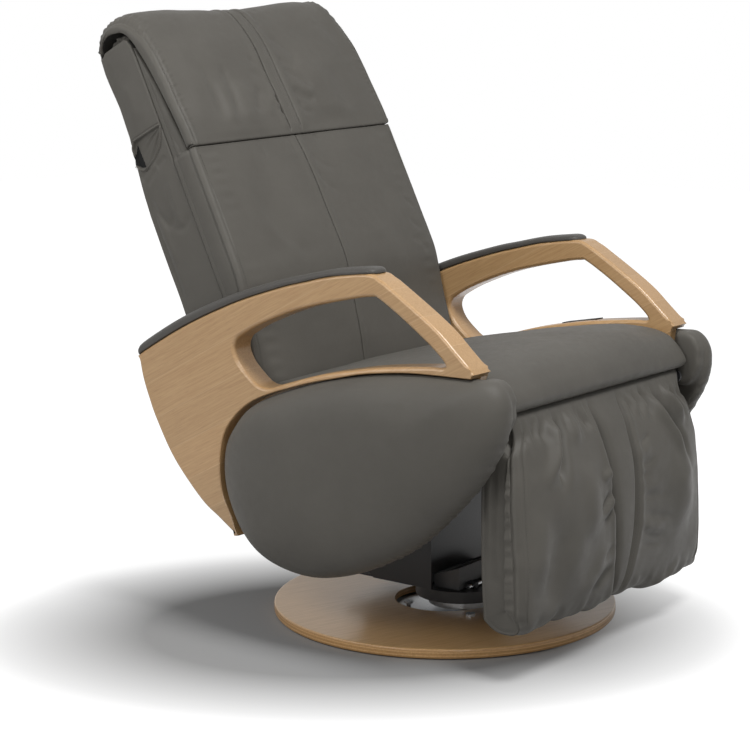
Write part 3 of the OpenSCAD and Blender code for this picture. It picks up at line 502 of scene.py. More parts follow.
def round_rows(low, high, r, sign):
    """Rows for solid() whose two edges are rounded with radius r."""
    turns = [k / 6 * pi / 2 for k in range(7)]
    rows = [(low + r * (1 - cos(a)), sign * r * (1 - sin(a))) for a in turns]
    return rows + [(low + high - x, p) for x, p in rows[::-1]]


def tidy_wood(bm):
    """Clears the slivers that the cuts leave, for an even shine on the flat faces."""
    bmesh.ops.remove_doubles(bm, verts=bm.verts, dist=0.00002)
    bmesh.ops.dissolve_degenerate(bm, edges=bm.edges, dist=0.00002)
    bmesh.ops.dissolve_limit(bm, angle_limit=0.002, verts=bm.verts, edges=bm.edges)
    bmesh.ops.triangulate(bm, faces=bm.faces, quad_method="BEAUTY", ngon_method="BEAUTY")


def wooden_arm(side):
    corners = [8, 23, 24, 25]
    arm = solid(curve(ARM, 7, True, corners), round_rows(INNER, OUTER, 0.006, -1), ARM[corners])
    rows = round_rows(INNER, OUTER, 0.007, 1)[1:-1]
    hole = solid(curve(HOLE, 8, True), [(INNER - 0.002, 0.0095)] + rows + [(OUTER + 0.002, 0.0095)])
    recess = solid(curve(RECESS, 8, True, corners=(0, 1, 2, 3)),
                   [(INNER + LAYER, 0), (OUTER - 0.0016, 0), (OUTER + 0.0004, 0.0018), (OUTER + 0.01, 0.0018)])
    cut(arm, [hole, recess])
    edit(arm.data, tidy_wood)
    if side < 0:
        for v in arm.data.vertices:
            v.co.x = -v.co.x
        arm.data.flip_normals()
    sharp(arm)
    mesh = arm.data
    normals = [Vector(c.vector) for c in mesh.corner_normals]
    for face in mesh.polygons:
        if abs(face.normal.x) > 0.9999:
            for k in face.loop_indices:
                normals[k] = face.normal.copy()
    mesh.normals_split_custom_set(normals)
    arm.name = "wood_arm_" + hand(side)
    finish_piece(arm, ARM_WOOD, "chassis")
    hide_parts("arm_left" if side > 0 else "arm_right")


both(wooden_arm)

# ---- arm pads
PAD_LINE = mm(3, 429, 470, 6, 423, 473.5, 12, 411, 481, 16, 359, 510, 17, 312, 534, 17, 252, 561, 16, 178, 590, 14,
    92, 617, 12, 48, 628, 11, -12, 642, 10, -64, 648.5, 10, -90, 651.5, 9, -99, 652.2, 6, -103, 652.5, 3)
PAD_HALF = 0.0238


def arm_pad(side):
    line = PAD_LINE if side < 0 else np.vstack([PAD_LINE[:-3], mm(3, -79, 650.5, 9, -88, 651.5, 6, -92, 652, 3)])
    rows = even(curve(line, 8), 150)
    e = np.gradient(rows[:, :2], axis=0)
    e /= np.linalg.norm(e, axis=1)[:, None]
    upward = stack([e[:, 1], -e[:, 0]], 1)
    s = linspace(0, 1, len(rows))
    length = np.sum(np.linalg.norm(np.diff(rows[:, :2], axis=0), axis=1))
    # both ends narrow in a curve
    half = PAD_HALF * np.sqrt(clip(1 - clip((s - 0.965) / 0.035, 0, 1) ** 2 * 0.75, 0, 1))
    half = half * np.sqrt(clip(1 - clip((0.02 - s) / 0.02, 0, 1) ** 2 * 0.6, 0, 1))
    turn = linspace(0, 2 * pi, 56, endpoint=False)
    cx = np.sign(np.cos(turn)) * abs(np.cos(turn)) ** 0.62
    cz = np.sign(np.sin(turn)) * abs(np.sin(turn)) ** 0.72
    seam = bell((s - 1) * length + 0.043, 0.0012) * 0.001
    y, z, thick = rows.T[:, :, None]
    m = -0.0016 + (thick + 0.0018) * where(cz > 0, 0.22 + 0.8 * cz, 0.22 + 0.22 * cz) - seam[:, None] * (cz > 0.1)
    across = side * ((INNER + OUTER) / 2 + cx * (half - seam * 0.7)[:, None])
    g = stack([across, y + upward[:, :1] * m, z + upward[:, 1:] * m], -1)
    obj = shell("pad_" + hand(side), g, PAD, "chassis")
    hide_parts("arm_pad_left" if side > 0 else "arm_pad_right")


both(arm_pad)

# ---- side cushions
SIDE = mm(2, 153, 413, 34, 458, -79, 484, -187, 496, -295, 498, -330, 497, -352, 476, -358, 443, -346, 395,
    -299, 321, -206, 228, -131, 179, -47, 142, 40, 125, 129, 139, 186, 179, 222, 250, 226, 316, 205, 364)
SIDE_RINGS = [(0, 0.975), (0.05, 0.995), (0.16, 1), (0.34, 0.99), (0.52, 0.955), (0.7, 0.88), (0.84, 0.76),
              (0.94, 0.58), (0.985, 0.36), (1, 0.14)]
SIDE_DEPTH = 0.072
SIDE_FRONT = mm(2, -302, 497, -330, 497, -349, 476, -352, 443, -340, 412, -320, 400, -302, 402)


def read(data, key, width, kind=float):
    values = np.empty(len(data) * width, kind)
    data.foreach_get(key, values)
    return values.reshape(-1, width)


def side_cushion(side):
    """Puffed cushion joined to its front end, evened out and then pleated."""
    centre = array([-0.07, 0.33])
    low = INNER + LAYER + 0.0003
    line = even(curve(SIDE, 8, True), 260, True)
    rings = curve(SIDE_RINGS, 5)
    rings = np.vstack([rings[rings[:, 1] > 0.1], [(1, 0.1), (1, 0.05), (1, 0.015)]])
    g = zeros((len(rings), len(line), 3))
    g[..., 0] = low + np.minimum(rings[:, :1], 1) * SIDE_DEPTH
    g[..., 1:] = centre + (line - centre) * rings[:, 1:, None]
    front = curve(SIDE_FRONT, 6, True, corners=(0, 6))
    rows = mm(2, 0.5, -6, 1.8, -3, 4, -1, 8, -0.2, 12, 0, 24, 0, 34, -2)
    f = stack([ring_at(front, INNER + x, push) for x, push in rows])
    obj, end = shell("part", g, LEATHER, None), shell("part", f, LEATHER, None, caps="face")
    bpy.ops.object.select_all(action="DESELECT")
    for p in (obj, end):
        p.select_set(True)
    bpy.context.view_layer.objects.active = obj
    bpy.ops.object.join()
    mod = obj.modifiers.new("remesh", "REMESH")
    mod.mode, mod.voxel_size = "VOXEL", 0.0042
    bake(obj)
    co, edges = read(obj.data.vertices, "co", 3), read(obj.data.edges, "vertices", 2, int)
    degree = np.bincount(edges.ravel(), minlength=len(co))[:, None]
    for factor in [0.6, -0.61] * 9:
        total = np.zeros_like(co)
        np.add.at(total, edges[:, 0], co[edges[:, 1]])
        np.add.at(total, edges[:, 1], co[edges[:, 0]])
        co = co + factor * (total / degree - co)
    y, z = co[:, 1], co[:, 2]
    out = clip((co[:, 0] - low) / SIDE_DEPTH, 0, 1)
    # small pleats where the cover is drawn in along its lower front edge and its wrapped end
    angle = np.arctan2(z - 0.33, -(y + 0.07))
    rim = 1 - ease(out, 0.1, 0.62)
    lower = ease(-z, -0.47, -0.4) * ease(-y, 0.02, 0.16)
    pleat = wave(angle, [(0.085, 0.5, 0.3), (0.052, 0.4, 1.7), (0.13, 0.35, 4.0)]) * rim * lower * 0.0016
    wrap = ease(-co[:, 0], -(INNER + 0.03), -(INNER + 0.004)) * ease(-y, 0.3, 0.33)
    pleat += wrap * wave(z, [(0.022, 0.5, 0.5), (0.034, 0.5, 2.0)]) * 0.0012
    co[:, 0] += 0.0008 * drift(y, z, 0.09, 5) * ease(out, 0.4, 0.9)
    co[:, 1] += -np.cos(angle) * pleat
    co[:, 2] += np.sin(angle) * pleat
    co[:, 0] = np.maximum(co[:, 0], INNER + 0.0004)
    co[:, 0] = where(y > -0.3, np.maximum(co[:, 0], low), co[:, 0])
    co[:, 0] *= side
    obj.data.vertices.foreach_set("co", co.ravel())
    if side < 0:
        obj.data.flip_normals()
    shade_smooth(obj.data)
    obj.name = "bolster_" + hand(side)
    finish_piece(obj, LEATHER, "chassis")
    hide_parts("side_cushion_left" if side > 0 else "side_cushion_right")


both(side_cushion)

# ---- seat cushion
SEAT = mm(2, -258, 395.3, -150, 395.3, 165, 395.3, 167, 425, 158, 438, 120, 444, 70, 457, -10, 474, -100, 490,
    -188, 503, -244, 503, -275, 499, -299, 490, -318, 472, -329, 456, -331, 446, -326, 439, -316, 437, -266, 437,
    -259, 430)
SEAT_HALF = 0.29
SEAT_CROWN = [0, 0, 0, 0, 0.3, 0.8, 1, 1, 1, 1, 1, 0.9, 0.7, 0.5, 0.2, 0, 0, 0, 0, 0]


def seat():
    line = curve(np.column_stack([SEAT, SEAT_CROWN]), 10, True, corners=(0, 2, 3, 19))
    y, z, crown = line[:, 0], np.maximum(line[:, 1], 0.3953), clip(line[:, 2], 0, 1)
    line[:, 1] = z
    d = outward(line)
    edge, draw = [1, 0.998, 0.995, 0.99, 0.984, 0.976, 0.967, 0.955], mm(8, 11.5, 8.5, 6, 3.6, 2, 1, 0.4, 0)[0]
    x_all = mirrored(np.r_[edge, linspace(0.94, 0, 60)]) * SEAT_HALF
    draw = mirrored(np.r_[draw, zeros(60)], 1)
    X = repeat(x_all[:, None], len(y), 1)
    share = X / SEAT_HALF
    top = ease(z, 0.437, 0.455)
    push = -draw[:, None] + 0.014 * crown * (1 - share * share)
    soft = 0.0016 * drift(X, y * 0.8 + z, 0.11, 11) + 0.0008 * drift(X, y + z, 0.045, 12)
    push += soft * top * ease(1 - abs(share), 0, 0.15)
    # shallow dents
    for a, b, width, height in mm(4, -50, -20, 18, -1.2, 70, 30, 22, -1.2, -150, 50, 20, -1):
        push += top * height * bell(hypot(X - a, (y - b) * 0.4), width)
    # cloth drawn in over the lower front edge
    frill = ease(-y, 0.3, 0.325) * (1 - ease(z, 0.445, 0.47))
    push += frill * 0.0002 * array([sin(x * 180) for x in x_all])[:, None]
    g = stack([X, y + d[:, 0] * push, z + d[:, 1] * push], -1)
    obj = shell("seat_pad", g, LEATHER, "chassis", caps="face")
    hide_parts("seat_cushion")


seat()

# ---- back cushion
BACK_FRONT = mm(2, 20, -1, 50, -7, 80, -12, 154, -25, 217, -39, 260, -41, 305, -41, 370, -41, 440, -40.5,
    460, -40.5, 473, -40.4, 477.6, -39.2, 479, -23, 483, -21.2, 500, -19.5, 600, -7.5, 645, 0, 690, 10)
BACK_CROWN = [(0.02, 0.0), (0.08, 0.6), (0.154, 1), (0.305, 1), (0.37, 0.9), (0.44, 0.5), (0.469, 0.1), (0.4785, 0),
              (0.7, 0)]
HALF, SEAM = 0.29, 0.2768  # half width of the back, and where its seams run


def leaned(x, u, w, tilt=0.035):
    """Points of the backrest: x across, u deep and w up along it; its seams climb to the far side by the tilt."""
    w = w + x * (tilt * clip((w - 0.4) / 0.06, 0, 1))
    return stack([x, 0 * x, 0 * x], -1) + ORIGIN + u[..., None] * DEPTH + w[..., None] * RISE


BACK_FOLDS = folds(0,  # width and height, then points in (x, w)
    (20, -1.6, -253, 395, -208, 293, -143, 237), (18, -1.4, -197, 404, -143, 283, -86, 231),
    (16, 1.4, -225, 400, -175, 290, -115, 234), (7, -1.4, 10, 404, 20, 377, 50, 353),
    (6, -1.1, 12, 440, 30, 415, 66, 400), (6, -1.2, 227, 286, 245, 275, 262, 260),
    (7, -1.1, 215, 250, 240, 238, 262, 220), (5, -0.9, 235, 330, 250, 322, 264, 305),
    (6, -1, -122, 480, -113, 459, -116, 430), (6, -1.2, 46, 475, 50, 467, 55, 459),
    (6, -0.8, -40, 478, -30, 462, -28, 440), (30, 1.8, 120, 300, 150, 200, 150, 120),
    (28, 1.6, -80, 360, -60, 250, -75, 150), (16, -1.4, 60, 200, 120, 160, 200, 155))


def back():
    w = runs((0.02, 0.45, 147), (0.4525, 0.476, 24), (0.4766, 0.4802, 7), (0.4815, 0.4985, 12), (0.508, 0.69, 26))
    xs = runs((0, 0.018, 37), (0.021, 0.265, 68), (0.2675, 0.2805, 10))
    a = linspace(0, pi / 2, 9)[1:]
    X, U = [], []
    for w1, u1, crown in zip(w, interp(w, *curve(BACK_FRONT, 6).T), interp(w, *array(BACK_CROWN).T) * 0.01):
        u = u1 - crown * (1 - (xs / HALF) ** 2)
        u = u + 0.0012 * bell(xs - 0.279, 0.0013) * (w1 < 0.472)
        u[-1] = u1
        under = 0.003 * float(ease(w1, 0.47, 0.482))
        px = 0.2805 + (0.0095 - under) * np.sin(a)
        pu = u1 + min(0.0095, 0.42 * (0.0118 - u1)) * (1 - np.cos(a))
        lane = linspace(pu[-1], 0.0117, 23)[1:]
        groove = 0.0036 * bell(lane - pu[-1] - 0.0015, 0.0016) * (w1 < 0.478)
        swell = 0.0014 * np.sin(clip((lane - pu[-1] - 0.004) / (0.0025 - pu[-1] - 0.004 + 1e-6), 0, 1) * pi)
        lx = full(22, HALF - under) - groove - ridges(lane, (1.4, 2.5, 1)) + swell * (pu[-1] < -0.01)
        X.append(np.r_[xs, px, lx, linspace(HALF - 0.006, 0.0, 8)])
        U.append(np.r_[u, pu, lane, full(8, 0.012)])
    seam_u = array([interp(SEAM, xs, u[:len(xs)]) for u in U])
    X, U = (np.hstack([v, k * array(v)[:, ::-1][:, 1:-1]]) for v, k in ((X, -1), (U, 1)))
    W = w[:, None] + 0 * X
    front = (U < 0.0) & (abs(X) < 0.278) & (W < 0.6)
    d = ridges(X, (5.2, -6, 1.1)) - ridges(abs(X + 0.006), (1.2, 9, 7))
    d -= creased(X, W, BACK_FOLDS)
    d -= 0.0014 * drift(X, W, 0.12, 3) + 0.0006 * drift(X, W, 0.05, 4)
    # short creases that leave the seams
    d += 0.0007 * np.sin(W * 260) * bell(abs(X) - 0.25, 0.02) * (0.5 + 0.5 * drift(X, W, 0.06, 8))
    U = U + d * front
    side_part = (abs(X) > 0.282) & (U < 0.011)
    X = X + np.sign(X) * side_part * 0.0006 * drift(U, W, 0.05, 9)
    # the cushion ends below the head block between its outer wedges
    W = W - 0.036 * (1 - ease(abs(X), 0.24, 0.264)) * ease(W, 0.6, 0.69)
    g = leaned(X, U, W)
    obj = shell("back_pad", g, LEATHER, "back", caps="face")
    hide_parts("back_cushion")
    # stitches beside the seams
    ws = linspace(0.03, 0.462, 90)
    for sx in (-1, 1):
        line = leaned(full_like(ws, sx * SEAM), interp(ws, w, seam_u) - 0.0001, ws)
        stitches("back_stitches_" + hand(sx), line, -DEPTH * 0.95 + array([sx * 0.3, 0, 0]), "back")


back()

# ---- headrest flap
FLAP = mm(2, 114, 702, 114.5, 720, 112, 736, 104, 750, 88, 760, 65, 765.5, 42, 766, 18, 760, -1, 745, -12, 725,
    -20, 700, -31, 650, -39.5, 550, -43, 488, -41.8, 479.2, -24, 479.2, -22.5, 488, -17, 550, -1, 650, 9, 695,
    14, 715, 21, 732, 31, 745, 46, 751, 64, 750, 80, 746, 92, 740, 99, 731, 101, 719, 101, 703)
FLAP_END = mm(2, 92.5, 715.5, 90, 721.5, 85, 729, 77, 737, 65, 744, 49, 747, 34, 744, 20, 736, 6, 722, -6, 705,
    -17, 685, -30, 642, -39, 550, -43, 488, -41.8, 479.2, -24, 479.2, -22.5, 488, -17, 550, -3, 642, 6, 685,
    12, 705, 19, 718, 28, 726.5, 37, 730, 55, 735, 66, 734, 74, 731, 80, 726, 84, 721.5, 86, 717)
FLAP_END_SHARE = [(0, 0), (0.7, 0), (0.89, 0.12), (0.93, 0.3), (0.965, 0.65), (0.99, 1), (1, 1)]
FLAP_HALF = 0.2895
FLAP_FOLDS = folds(0,  # width and height, then points in (x, w)
    (11, -2, -189, 512, -180, 552, -180, 592, -188, 638), (11, 1.8, -165, 505, -158, 552, -158, 600),
    (9, -2.2, -148, 507, -135, 556, -132, 602, -137, 631), (14, 1.8, -115, 505, -108, 550, -106, 600),
    (9, -2, -84, 522, -70, 554, -48, 577), (8, 1.2, -55, 515, -46, 540, -28, 556),
    (6, -1.3, -18, 600, -30, 627, -55, 640), (6, -1, -18, 578, -36, 600, -66, 612),
    (20, 1.6, -240, 500, -225, 560, -215, 640, -214, 700), (7, -2.2, 30, 572, 59, 550, 88, 537),
    (8, 1.4, 34, 585, 62, 567, 95, 556), (7, -2, 30, 612, 55, 598, 78, 580, 90, 562),
    (7, -1.2, 30, 632, 52, 622, 72, 606), (6, -1.5, 36, 545, 44, 523, 71, 515),
    (11, -2.4, 40, 690, 60, 665, 78, 640, 70, 618), (18, -1.8, 218, 735, 229, 660, 231, 610),
    (12, 1.4, 255, 720, 266, 640, 270, 560), (6, -1.6, 12, 745, 20, 722, 36, 694),
    (7, -1.8, 40, 752, 36, 728, 34, 702), (8, -1, 60, 755, 56, 735, 60, 712), (4, -2.2, -24, 560, -20, 552, -18, 540),
    (4, -2.2, -26, 536, -21, 528, -18, 520), (35, 2.4, 130, 500, 135, 560, 120, 640),
    (20, -1.2, 180, 505, 185, 560, 175, 620))


def paired(first, second, count):
    """Two lines with the same number of points, spaced evenly on the first one."""
    p, q = curve(first, 8), curve(second, 8)
    t = lengths(p)
    return [at(linspace(0, t[-1], count), t, line) for line in (p, q)]


def flap():
    """Skin between two outlines: the one at the middle turns into the one at the open ends."""
    n_o = 170  # points on the outer side, and as many on the inner one
    outer, outer_end = paired(FLAP[14::-1], FLAP_END[14::-1], n_o)
    inner, inner_end = paired(FLAP[:14:-1], FLAP_END[:14:-1], n_o)
    ring, ring_end = np.vstack([outer, inner]), np.vstack([outer_end, inner_end])
    length = lengths(outer)
    S = np.r_[length, interp(np.arange(n_o), [0, n_o - 1], [length[-1], 0])]  # how far from the hem
    is_out = np.arange(2 * n_o) < n_o
    edge = [1.0, 0.9993, 0.9975, 0.9945, *(k / 1000 for k in range(991, 934, -4)), 0.93, 0.924, 0.917, 0.909, 0.9]
    x_all = mirrored(np.r_[edge, runs((0.89, 0.075, 84), (0.07, 0.0, 25))]) * FLAP_HALF
    share = abs(x_all) / FLAP_HALF
    blend = interp(share, *array(FLAP_END_SHARE).T)
    blend = (blend - (x_all > 0) * 0.12 * clip(1 - abs(share - 0.89) / 0.07, 0, 1))[:, None, None]
    section = ring[None] * (1 - blend) + ring_end[None] * blend
    d_out = stack([outward(r) for r in section])
    A, W = repeat(x_all[:, None], 2 * n_o, 1), section[..., 1]
    from_edge = FLAP_HALF - abs(A)
    # thin at the open ends, thick down the front
    r = interp(S, [0, 0.02, 0.2, 0.27, length[-1]], [0.0095, 0.0095, 0.0085, 0.0055, 0.0055])
    d = -where(from_edge < r, r - np.sqrt(np.maximum(r ** 2 - (r - from_edge) ** 2, 0)), 0)
    # rolled edge, its seam and the strip down the middle
    bulge = ridges(from_edge, (-1.4, 10.5, 1.3), (1, 16, 4))
    fade_hem = ease(S, 0.004, 0.02)
    bulge += fade_hem * ridges(A, (-7.2, -16, 1.6), (-3.6, 16.5, 1.3))
    bulge += fade_hem * ridges(A, (1, 0, 12), (-0.8, 4, 1.2), (-0.8, 10, 1.2), (2.2, -26, 9), (2, 27, 9))
    bulge += 0.003 * np.sin(clip((abs(A) - 0.018) / (0.272 - 0.018), 0, 1) * pi) ** 0.7 * ease(S, 0.0, 0.05)
    bulge += creased(A, W, FLAP_FOLDS, 1.25, 1.25) * (S < 0.33)
    bulge += fade_hem * (0.0015 * drift(A, S, 0.1, 21) + 0.0008 * drift(A, S, 0.04, 22))
    # gathers round the open ends
    crest = ease(S, 0.225, 0.262)
    gather = wave(S + 0.004 * drift(A, S, 0.03, 23), [(0.0135, 0.6, 0.2), (0.0205, 0.5, 2.1), (0.009, 0.25, 1.0)])
    bulge += 0.0013 * gather * crest * ease(from_edge, 0.0075, 0.012) * (1 - ease(from_edge, 0.02, 0.048))
    bulge -= 0.0022 * crest * bell(from_edge - 0.0085, 0.0016)
    ripple = wave(S, [(0.01, 0.6, 1.0), (0.017, 0.5, 0.0)])
    bulge += 0.0007 * ripple * bell(from_edge - 0.018, 0.007) * ease(S, 0.03, 0.06)
    d = d + where(is_out[None, :], bulge * ease(S, 0.0, 0.009), 0)
    # rounded lower corners, and a crest that rises towards the far end
    near_hem = (1 - ease(S, 0.0, 0.01)) * ease(abs(A), FLAP_HALF - 0.012, FLAP_HALF)
    rise = 0.009 * ease(A, 0.02, 0.26) * ease(W, 0.66, 0.75)
    g = leaned(A - np.sign(A) * 0.0022 * near_hem, section[..., 0] + d_out[..., 0] * d, W + d_out[..., 1] * d + rise)
    obj = shell("headrest_cover", g, LEATHER, "back", caps="strip")
    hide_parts("headrest_flap")
    for sx in (-1, 1):
        i = np.argmin(abs(x_all - sx * (FLAP_HALF - 0.0082)))
        keep = slice(6, int(n_o * 0.62))
        normal = d_out[i, keep, :1] * DEPTH + d_out[i, keep, 1:] * RISE
        stitches("cover_stitches_" + hand(sx), g[i, keep] + normal * 0.0001, normal, "back")


flap()

# ---- side and rear panels of the back
PANEL_REAR = mm(2, 30, 113, 340, 113, 400, 112, 435, 109, 470, 105, 510, 100, 545, 94.5, 600, 93.5, 640, 95.5,
    670, 97.5, 704.5, 96.5)
PANEL_FRONT = mm(2, 30, 13.2, 660, 13.4, 690, 15.5, 704.5, 20.5)
HOLD = mm(2, 15, 534, 18, 528, 26, 513, 34, 501, 53, 488, 68, 482, 83, 479, 94, 483, 100.5, 494, 101.5, 504,
    95.5, 522, 86, 533.5)
GAP = mm(2, 86, 525, 101, 506, 100.5, 496, 92, 486, 84, 483)
PANEL_FOLDS = folds(0,  # width and height, then points in (u, w)
    (6, -2, 100, 462, 90, 472, 66, 478), (5, -1.6, 97, 450, 52, 470), (6, -1.6, 57, 470, 24, 480),
    (7, -2.2, 100, 440, 85, 394, 70, 367, 48, 391), (7, -1.8, 73, 360, 40, 352, 22, 371),
    (6, -2.2, 100, 441, 102, 370, 100, 300, 103, 200), (10, 1.8, 85, 430, 88, 360, 86, 290),
    (9, 1.2, 40, 440, 48, 400, 40, 340), (14, 1.4, 60, 640, 55, 600, 60, 560))


def inside(px, py, poly):
    """How deep points lie inside an outline, below zero outside."""
    best = full(px.shape, 1e9)
    within = zeros(px.shape, bool)
    for (ax, ay), (bx, by) in zip(poly, np.roll(poly, -1, 0)):
        e = array([bx - ax, by - ay])
        s = clip(((px - ax) * e[0] + (py - ay) * e[1]) / (e @ e), 0, 1)
        best = np.minimum(best, hypot(px - ax - s * e[0], py - ay - s * e[1]))
        cross = (ay > py) != (by > py)
        within ^= cross & (px < (bx - ax) * (py - ay) / (by - ay + 1e-15) + ax)
    return where(within, best, -best)


def slab(name, outer, inner):
    """Closed leather slab between two grids of points."""
    n, m = outer.shape[:2]
    front = grid_faces(n, m)
    faces = front + [[k + n * m for k in f[::-1]] for f in front]
    sides = {(f[k], f[(k + 1) % 4]): True for f in front for k in range(4)}
    faces += [[b, a, a + n * m, b + n * m] for a, b in sides if (b, a) not in sides]
    return make(name, np.vstack([outer.reshape(-1, 3), inner.reshape(-1, 3)]), faces, LEATHER, "back")


def upright(x, u, w):
    return leaned(x, u, w, 0.0)


def side_panel(side):
    """Leather side with its hand-hold: below a straight welt the lining dives into a half round pocket."""
    w = runs((0.03, 0.47, 120), (0.472, 0.545, 60), (0.549, 0.7045, 45))
    rear, front = (interp(w, *p.T)[:, None] for p in (PANEL_REAR, PANEL_FRONT))
    U = front + (rear - front) * linspace(0, 1, 76)
    W = w[:, None] + 0 * U
    W = W - ease(W, 0.66, 0.7045) * (0.001 + 0.0055 * ease(U, 0.08, 0.092) + 0.003 * ease(-U, -0.028, -0.018))
    edge = np.minimum(np.minimum(U - front, rear - U), np.max(W, 0) - W)
    out = HALF - 0.0012 - 0.003 * (1 - clip(edge / 0.0035, 0, 1)) ** 2 + 0.0012 * ease(edge, 0.004, 0.03)
    hold = inside(U, W, HOLD)
    out += ridges(hold, (2, -1.2, 1.4), (-1.4, -4.2, 1.1))
    deep = ease(hold, 0.0004, 0.0022)
    pleats = wave(np.arctan2(0.536 - W, U - 0.01), [(0.27, 0.6, 0.4), (0.17, 0.4, 2.0)])
    pleats = pleats * clip(1.3 - (U - 0.02) / 0.05, 0, 1)
    out -= deep * (0.0035 + 0.003 * ease(U, 0.03, 0.09) - 0.0018 * pleats * ease(hold, 0.001, 0.006))
    out += creased(U, W, PANEL_FOLDS) * (hold < -0.004)
    out += 0.0009 * drift(U, W, 0.05, 31 + side)
    out = np.minimum(out, HALF + 0.0015)
    out = where((inside(U, W, GAP) > 0) & (U < rear - 0.0022), HALF - 0.0098, out)
    lining = full_like(U, HALF - 0.0118)
    obj = slab("back_flank_" + hand(side), upright(out * side, U, W), upright(lining * side, U, W))
    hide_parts("back_side_left" if side > 0 else "back_side_right")
    # painted shade: a near-black sheet on the faces in the gap, where the pocket lies in shade
    obj.data.materials.append(GAP_SHADE_SHEET)
    for face in obj.data.polygons:
        centre = array(face.center) - ORIGIN
        u, v = array([centre @ DEPTH]), array([centre @ RISE])
        if abs(centre[0]) > HALF - 0.011 and inside(u, v, GAP)[0] > -0.0008:
            face.material_index = 1
    rim = curve(HOLD[:9], 10)
    away = outward(np.vstack([rim, [(0.09, 0.54), (0.02, 0.54)]]))[:len(rim)]
    row = rim + away * 0.0034
    line = upright(full(len(rim), HALF - 0.0008) * side, *row.T)
    stitches("pocket_stitches_" + hand(side), line, [side, 0, 0], "back")


both(side_panel)


def tunnel_lining(side):
    """Folds of the lining that show in the flap's open end."""
    u, w = np.meshgrid(linspace(0.026, 0.08, 30), linspace(0.705, 0.729, 16))
    x = side * (0.268 + (0.0026 * np.sin(u * 420 + w * 160) + 0.0014 * np.sin(u * 230 - w * 300)))
    top = 0.729 - 0.01 * ((u - 0.053) / 0.027) ** 2
    w = 0.705 + (w - 0.705) / 0.024 * (top - 0.705) - 0.0095 * (side < 0)
    obj = slab("tunnel_lining_" + hand(side), upright(x, u, w), upright(x - side * 0.002, u, w))


both(tunnel_lining)


def rear_panel():
    w = linspace(0.06, 0.6995, 130)
    u = interp(w, *PANEL_REAR.T) - 0.0005 * ease(w, 0.64, 0.67)
    half = HALF - 0.0123
    xs = np.r_[-half, linspace(-half + 0.002, half - 0.002, 120), half]
    X, W = np.meshgrid(xs, w)
    edge = half - abs(X)
    U = u[:, None] - 0.002 * (1 - clip(edge / 0.004, 0, 1)) ** 2
    U = U - 0.0018 * (bell(abs(X) - 0.15, 0.0016) + bell(W - 0.56, 0.0016)) + 0.0006 * drift(X, W, 0.1, 41)
    obj = slab("back_shell", leaned(X, U, W), leaned(X, (u - 0.006)[:, None] + 0 * X, W))
    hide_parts("back_rear_panel")
    ws = linspace(0.07, 0.695, 80)
    us = interp(ws, w, u)
    for sx in (-1, 1):
        stitches("rear_stitches_" + hand(sx), leaned(full(80, sx * 0.1545), us + 0.0002, ws), DEPTH, "back")


rear_panel()

# ---- leg rest cover
LEG = mm(3, -283, 92, 286, -281, 200, 290, -281, 340, 288, -290, 394, 280, -301, 402, 266, -302, 419, 266,
    -306, 430, 266, -315, 436, 266, -324, 430, 266, -330, 418, 266, -340, 401, 267, -351, 380, 284, -361, 350, 292,
    -369, 322, 296, -375, 280, 298, -378, 235, 298, -378, 190, 298, -374, 145, 298, -368, 108, 296, -358, 86, 290,
    -340, 75, 286, -315, 73, 284, -297, 79, 284)
LEG_HALF = 0.3005  # limit of its half width
LEG_FOLDS = folds(1,  # lean, width and height, then points in (x, z)
    (0.4, 11, -8, -150, 424, -166, 390, -184, 343, -196, 300),
    (0.2, 12, 6, -172, 424, -182, 395, -202, 355, -232, 312), (0, 8, -4, -190, 428, -198, 405, -214, 385),
    (0, 14, 3.6, -128, 424, -122, 398, -128, 360), (0, 10, -3, -100, 428, -80, 402, -68, 380),
    (0, 5, -2.8, -262, 428, -266, 412, -272, 396), (0, 6, -3, -240, 428, -243, 408, -252, 388),
    (0, 6, -3.2, -222, 428, -222, 410, -230, 392), (0, 30, -4, -205, 300, -200, 220, -214, 150, -205, 100),
    (0, 30, 5, -120, 340, -118, 270, -130, 200), (0, 22, 3, -255, 300, -250, 220, -252, 140),
    (0.4, 8, -5.6, -42, 288, -66, 266, -100, 250), (0, 8, 4, -46, 270, -64, 252, -96, 240),
    (0.4, 7, -4.4, -40, 262, -58, 244, -92, 228), (0, 9, 3, -44, 316, -62, 306, -80, 304),
    (0, 7, -3.4, -36, 185, -60, 176, -94, 157), (0, 10, -3.4, -30, 150, -70, 135, -110, 110),
    (0, 20, 3, -150, 110, -100, 150, -60, 200), (-0.3, 12, -8, 150, 424, 172, 380, 205, 330, 235, 270),
    (0, 13, 5, 128, 424, 150, 380, 180, 330, 200, 280), (0, 12, 5.5, 180, 424, 206, 385, 236, 345),
    (0, 8, -4, 206, 426, 232, 388, 252, 350), (0, 7, -4.2, 50, 428, 68, 404, 66, 374),
    (0, 7, 3, 64, 428, 80, 404, 80, 376), (0, 7, -4.2, 80, 428, 96, 404, 90, 368),
    (0, 9, -4.6, 108, 428, 126, 402, 118, 360), (0, 8, 3.2, 94, 428, 110, 402, 104, 368),
    (0, 6, -3.4, 232, 424, 250, 395, 262, 370), (0, 5, -2.6, 50, 334, 78, 343, 96, 352),
    (0, 6, 2, 48, 318, 70, 322, 94, 332), (0, 5, -2.6, 46, 302, 80, 304, 110, 312),
    (0, 5, -2.6, 46, 278, 62, 284, 86, 286), (0, 7, 2, 46, 262, 80, 262, 120, 268),
    (0, 6, -2.4, 44, 248, 90, 246, 145, 236), (0, 7, -3, 42, 222, 100, 208, 160, 194),
    (0, 6, -2.6, 40, 194, 90, 176, 140, 168), (0, 6, -2.4, 38, 172, 80, 160, 130, 156),
    (0, 9, 1.8, 36, 210, 80, 192, 130, 182), (0, 9, 4, 205, 110, 160, 90, 100, 74),
    (0, 40, 5, 170, 320, 190, 240, 190, 160))


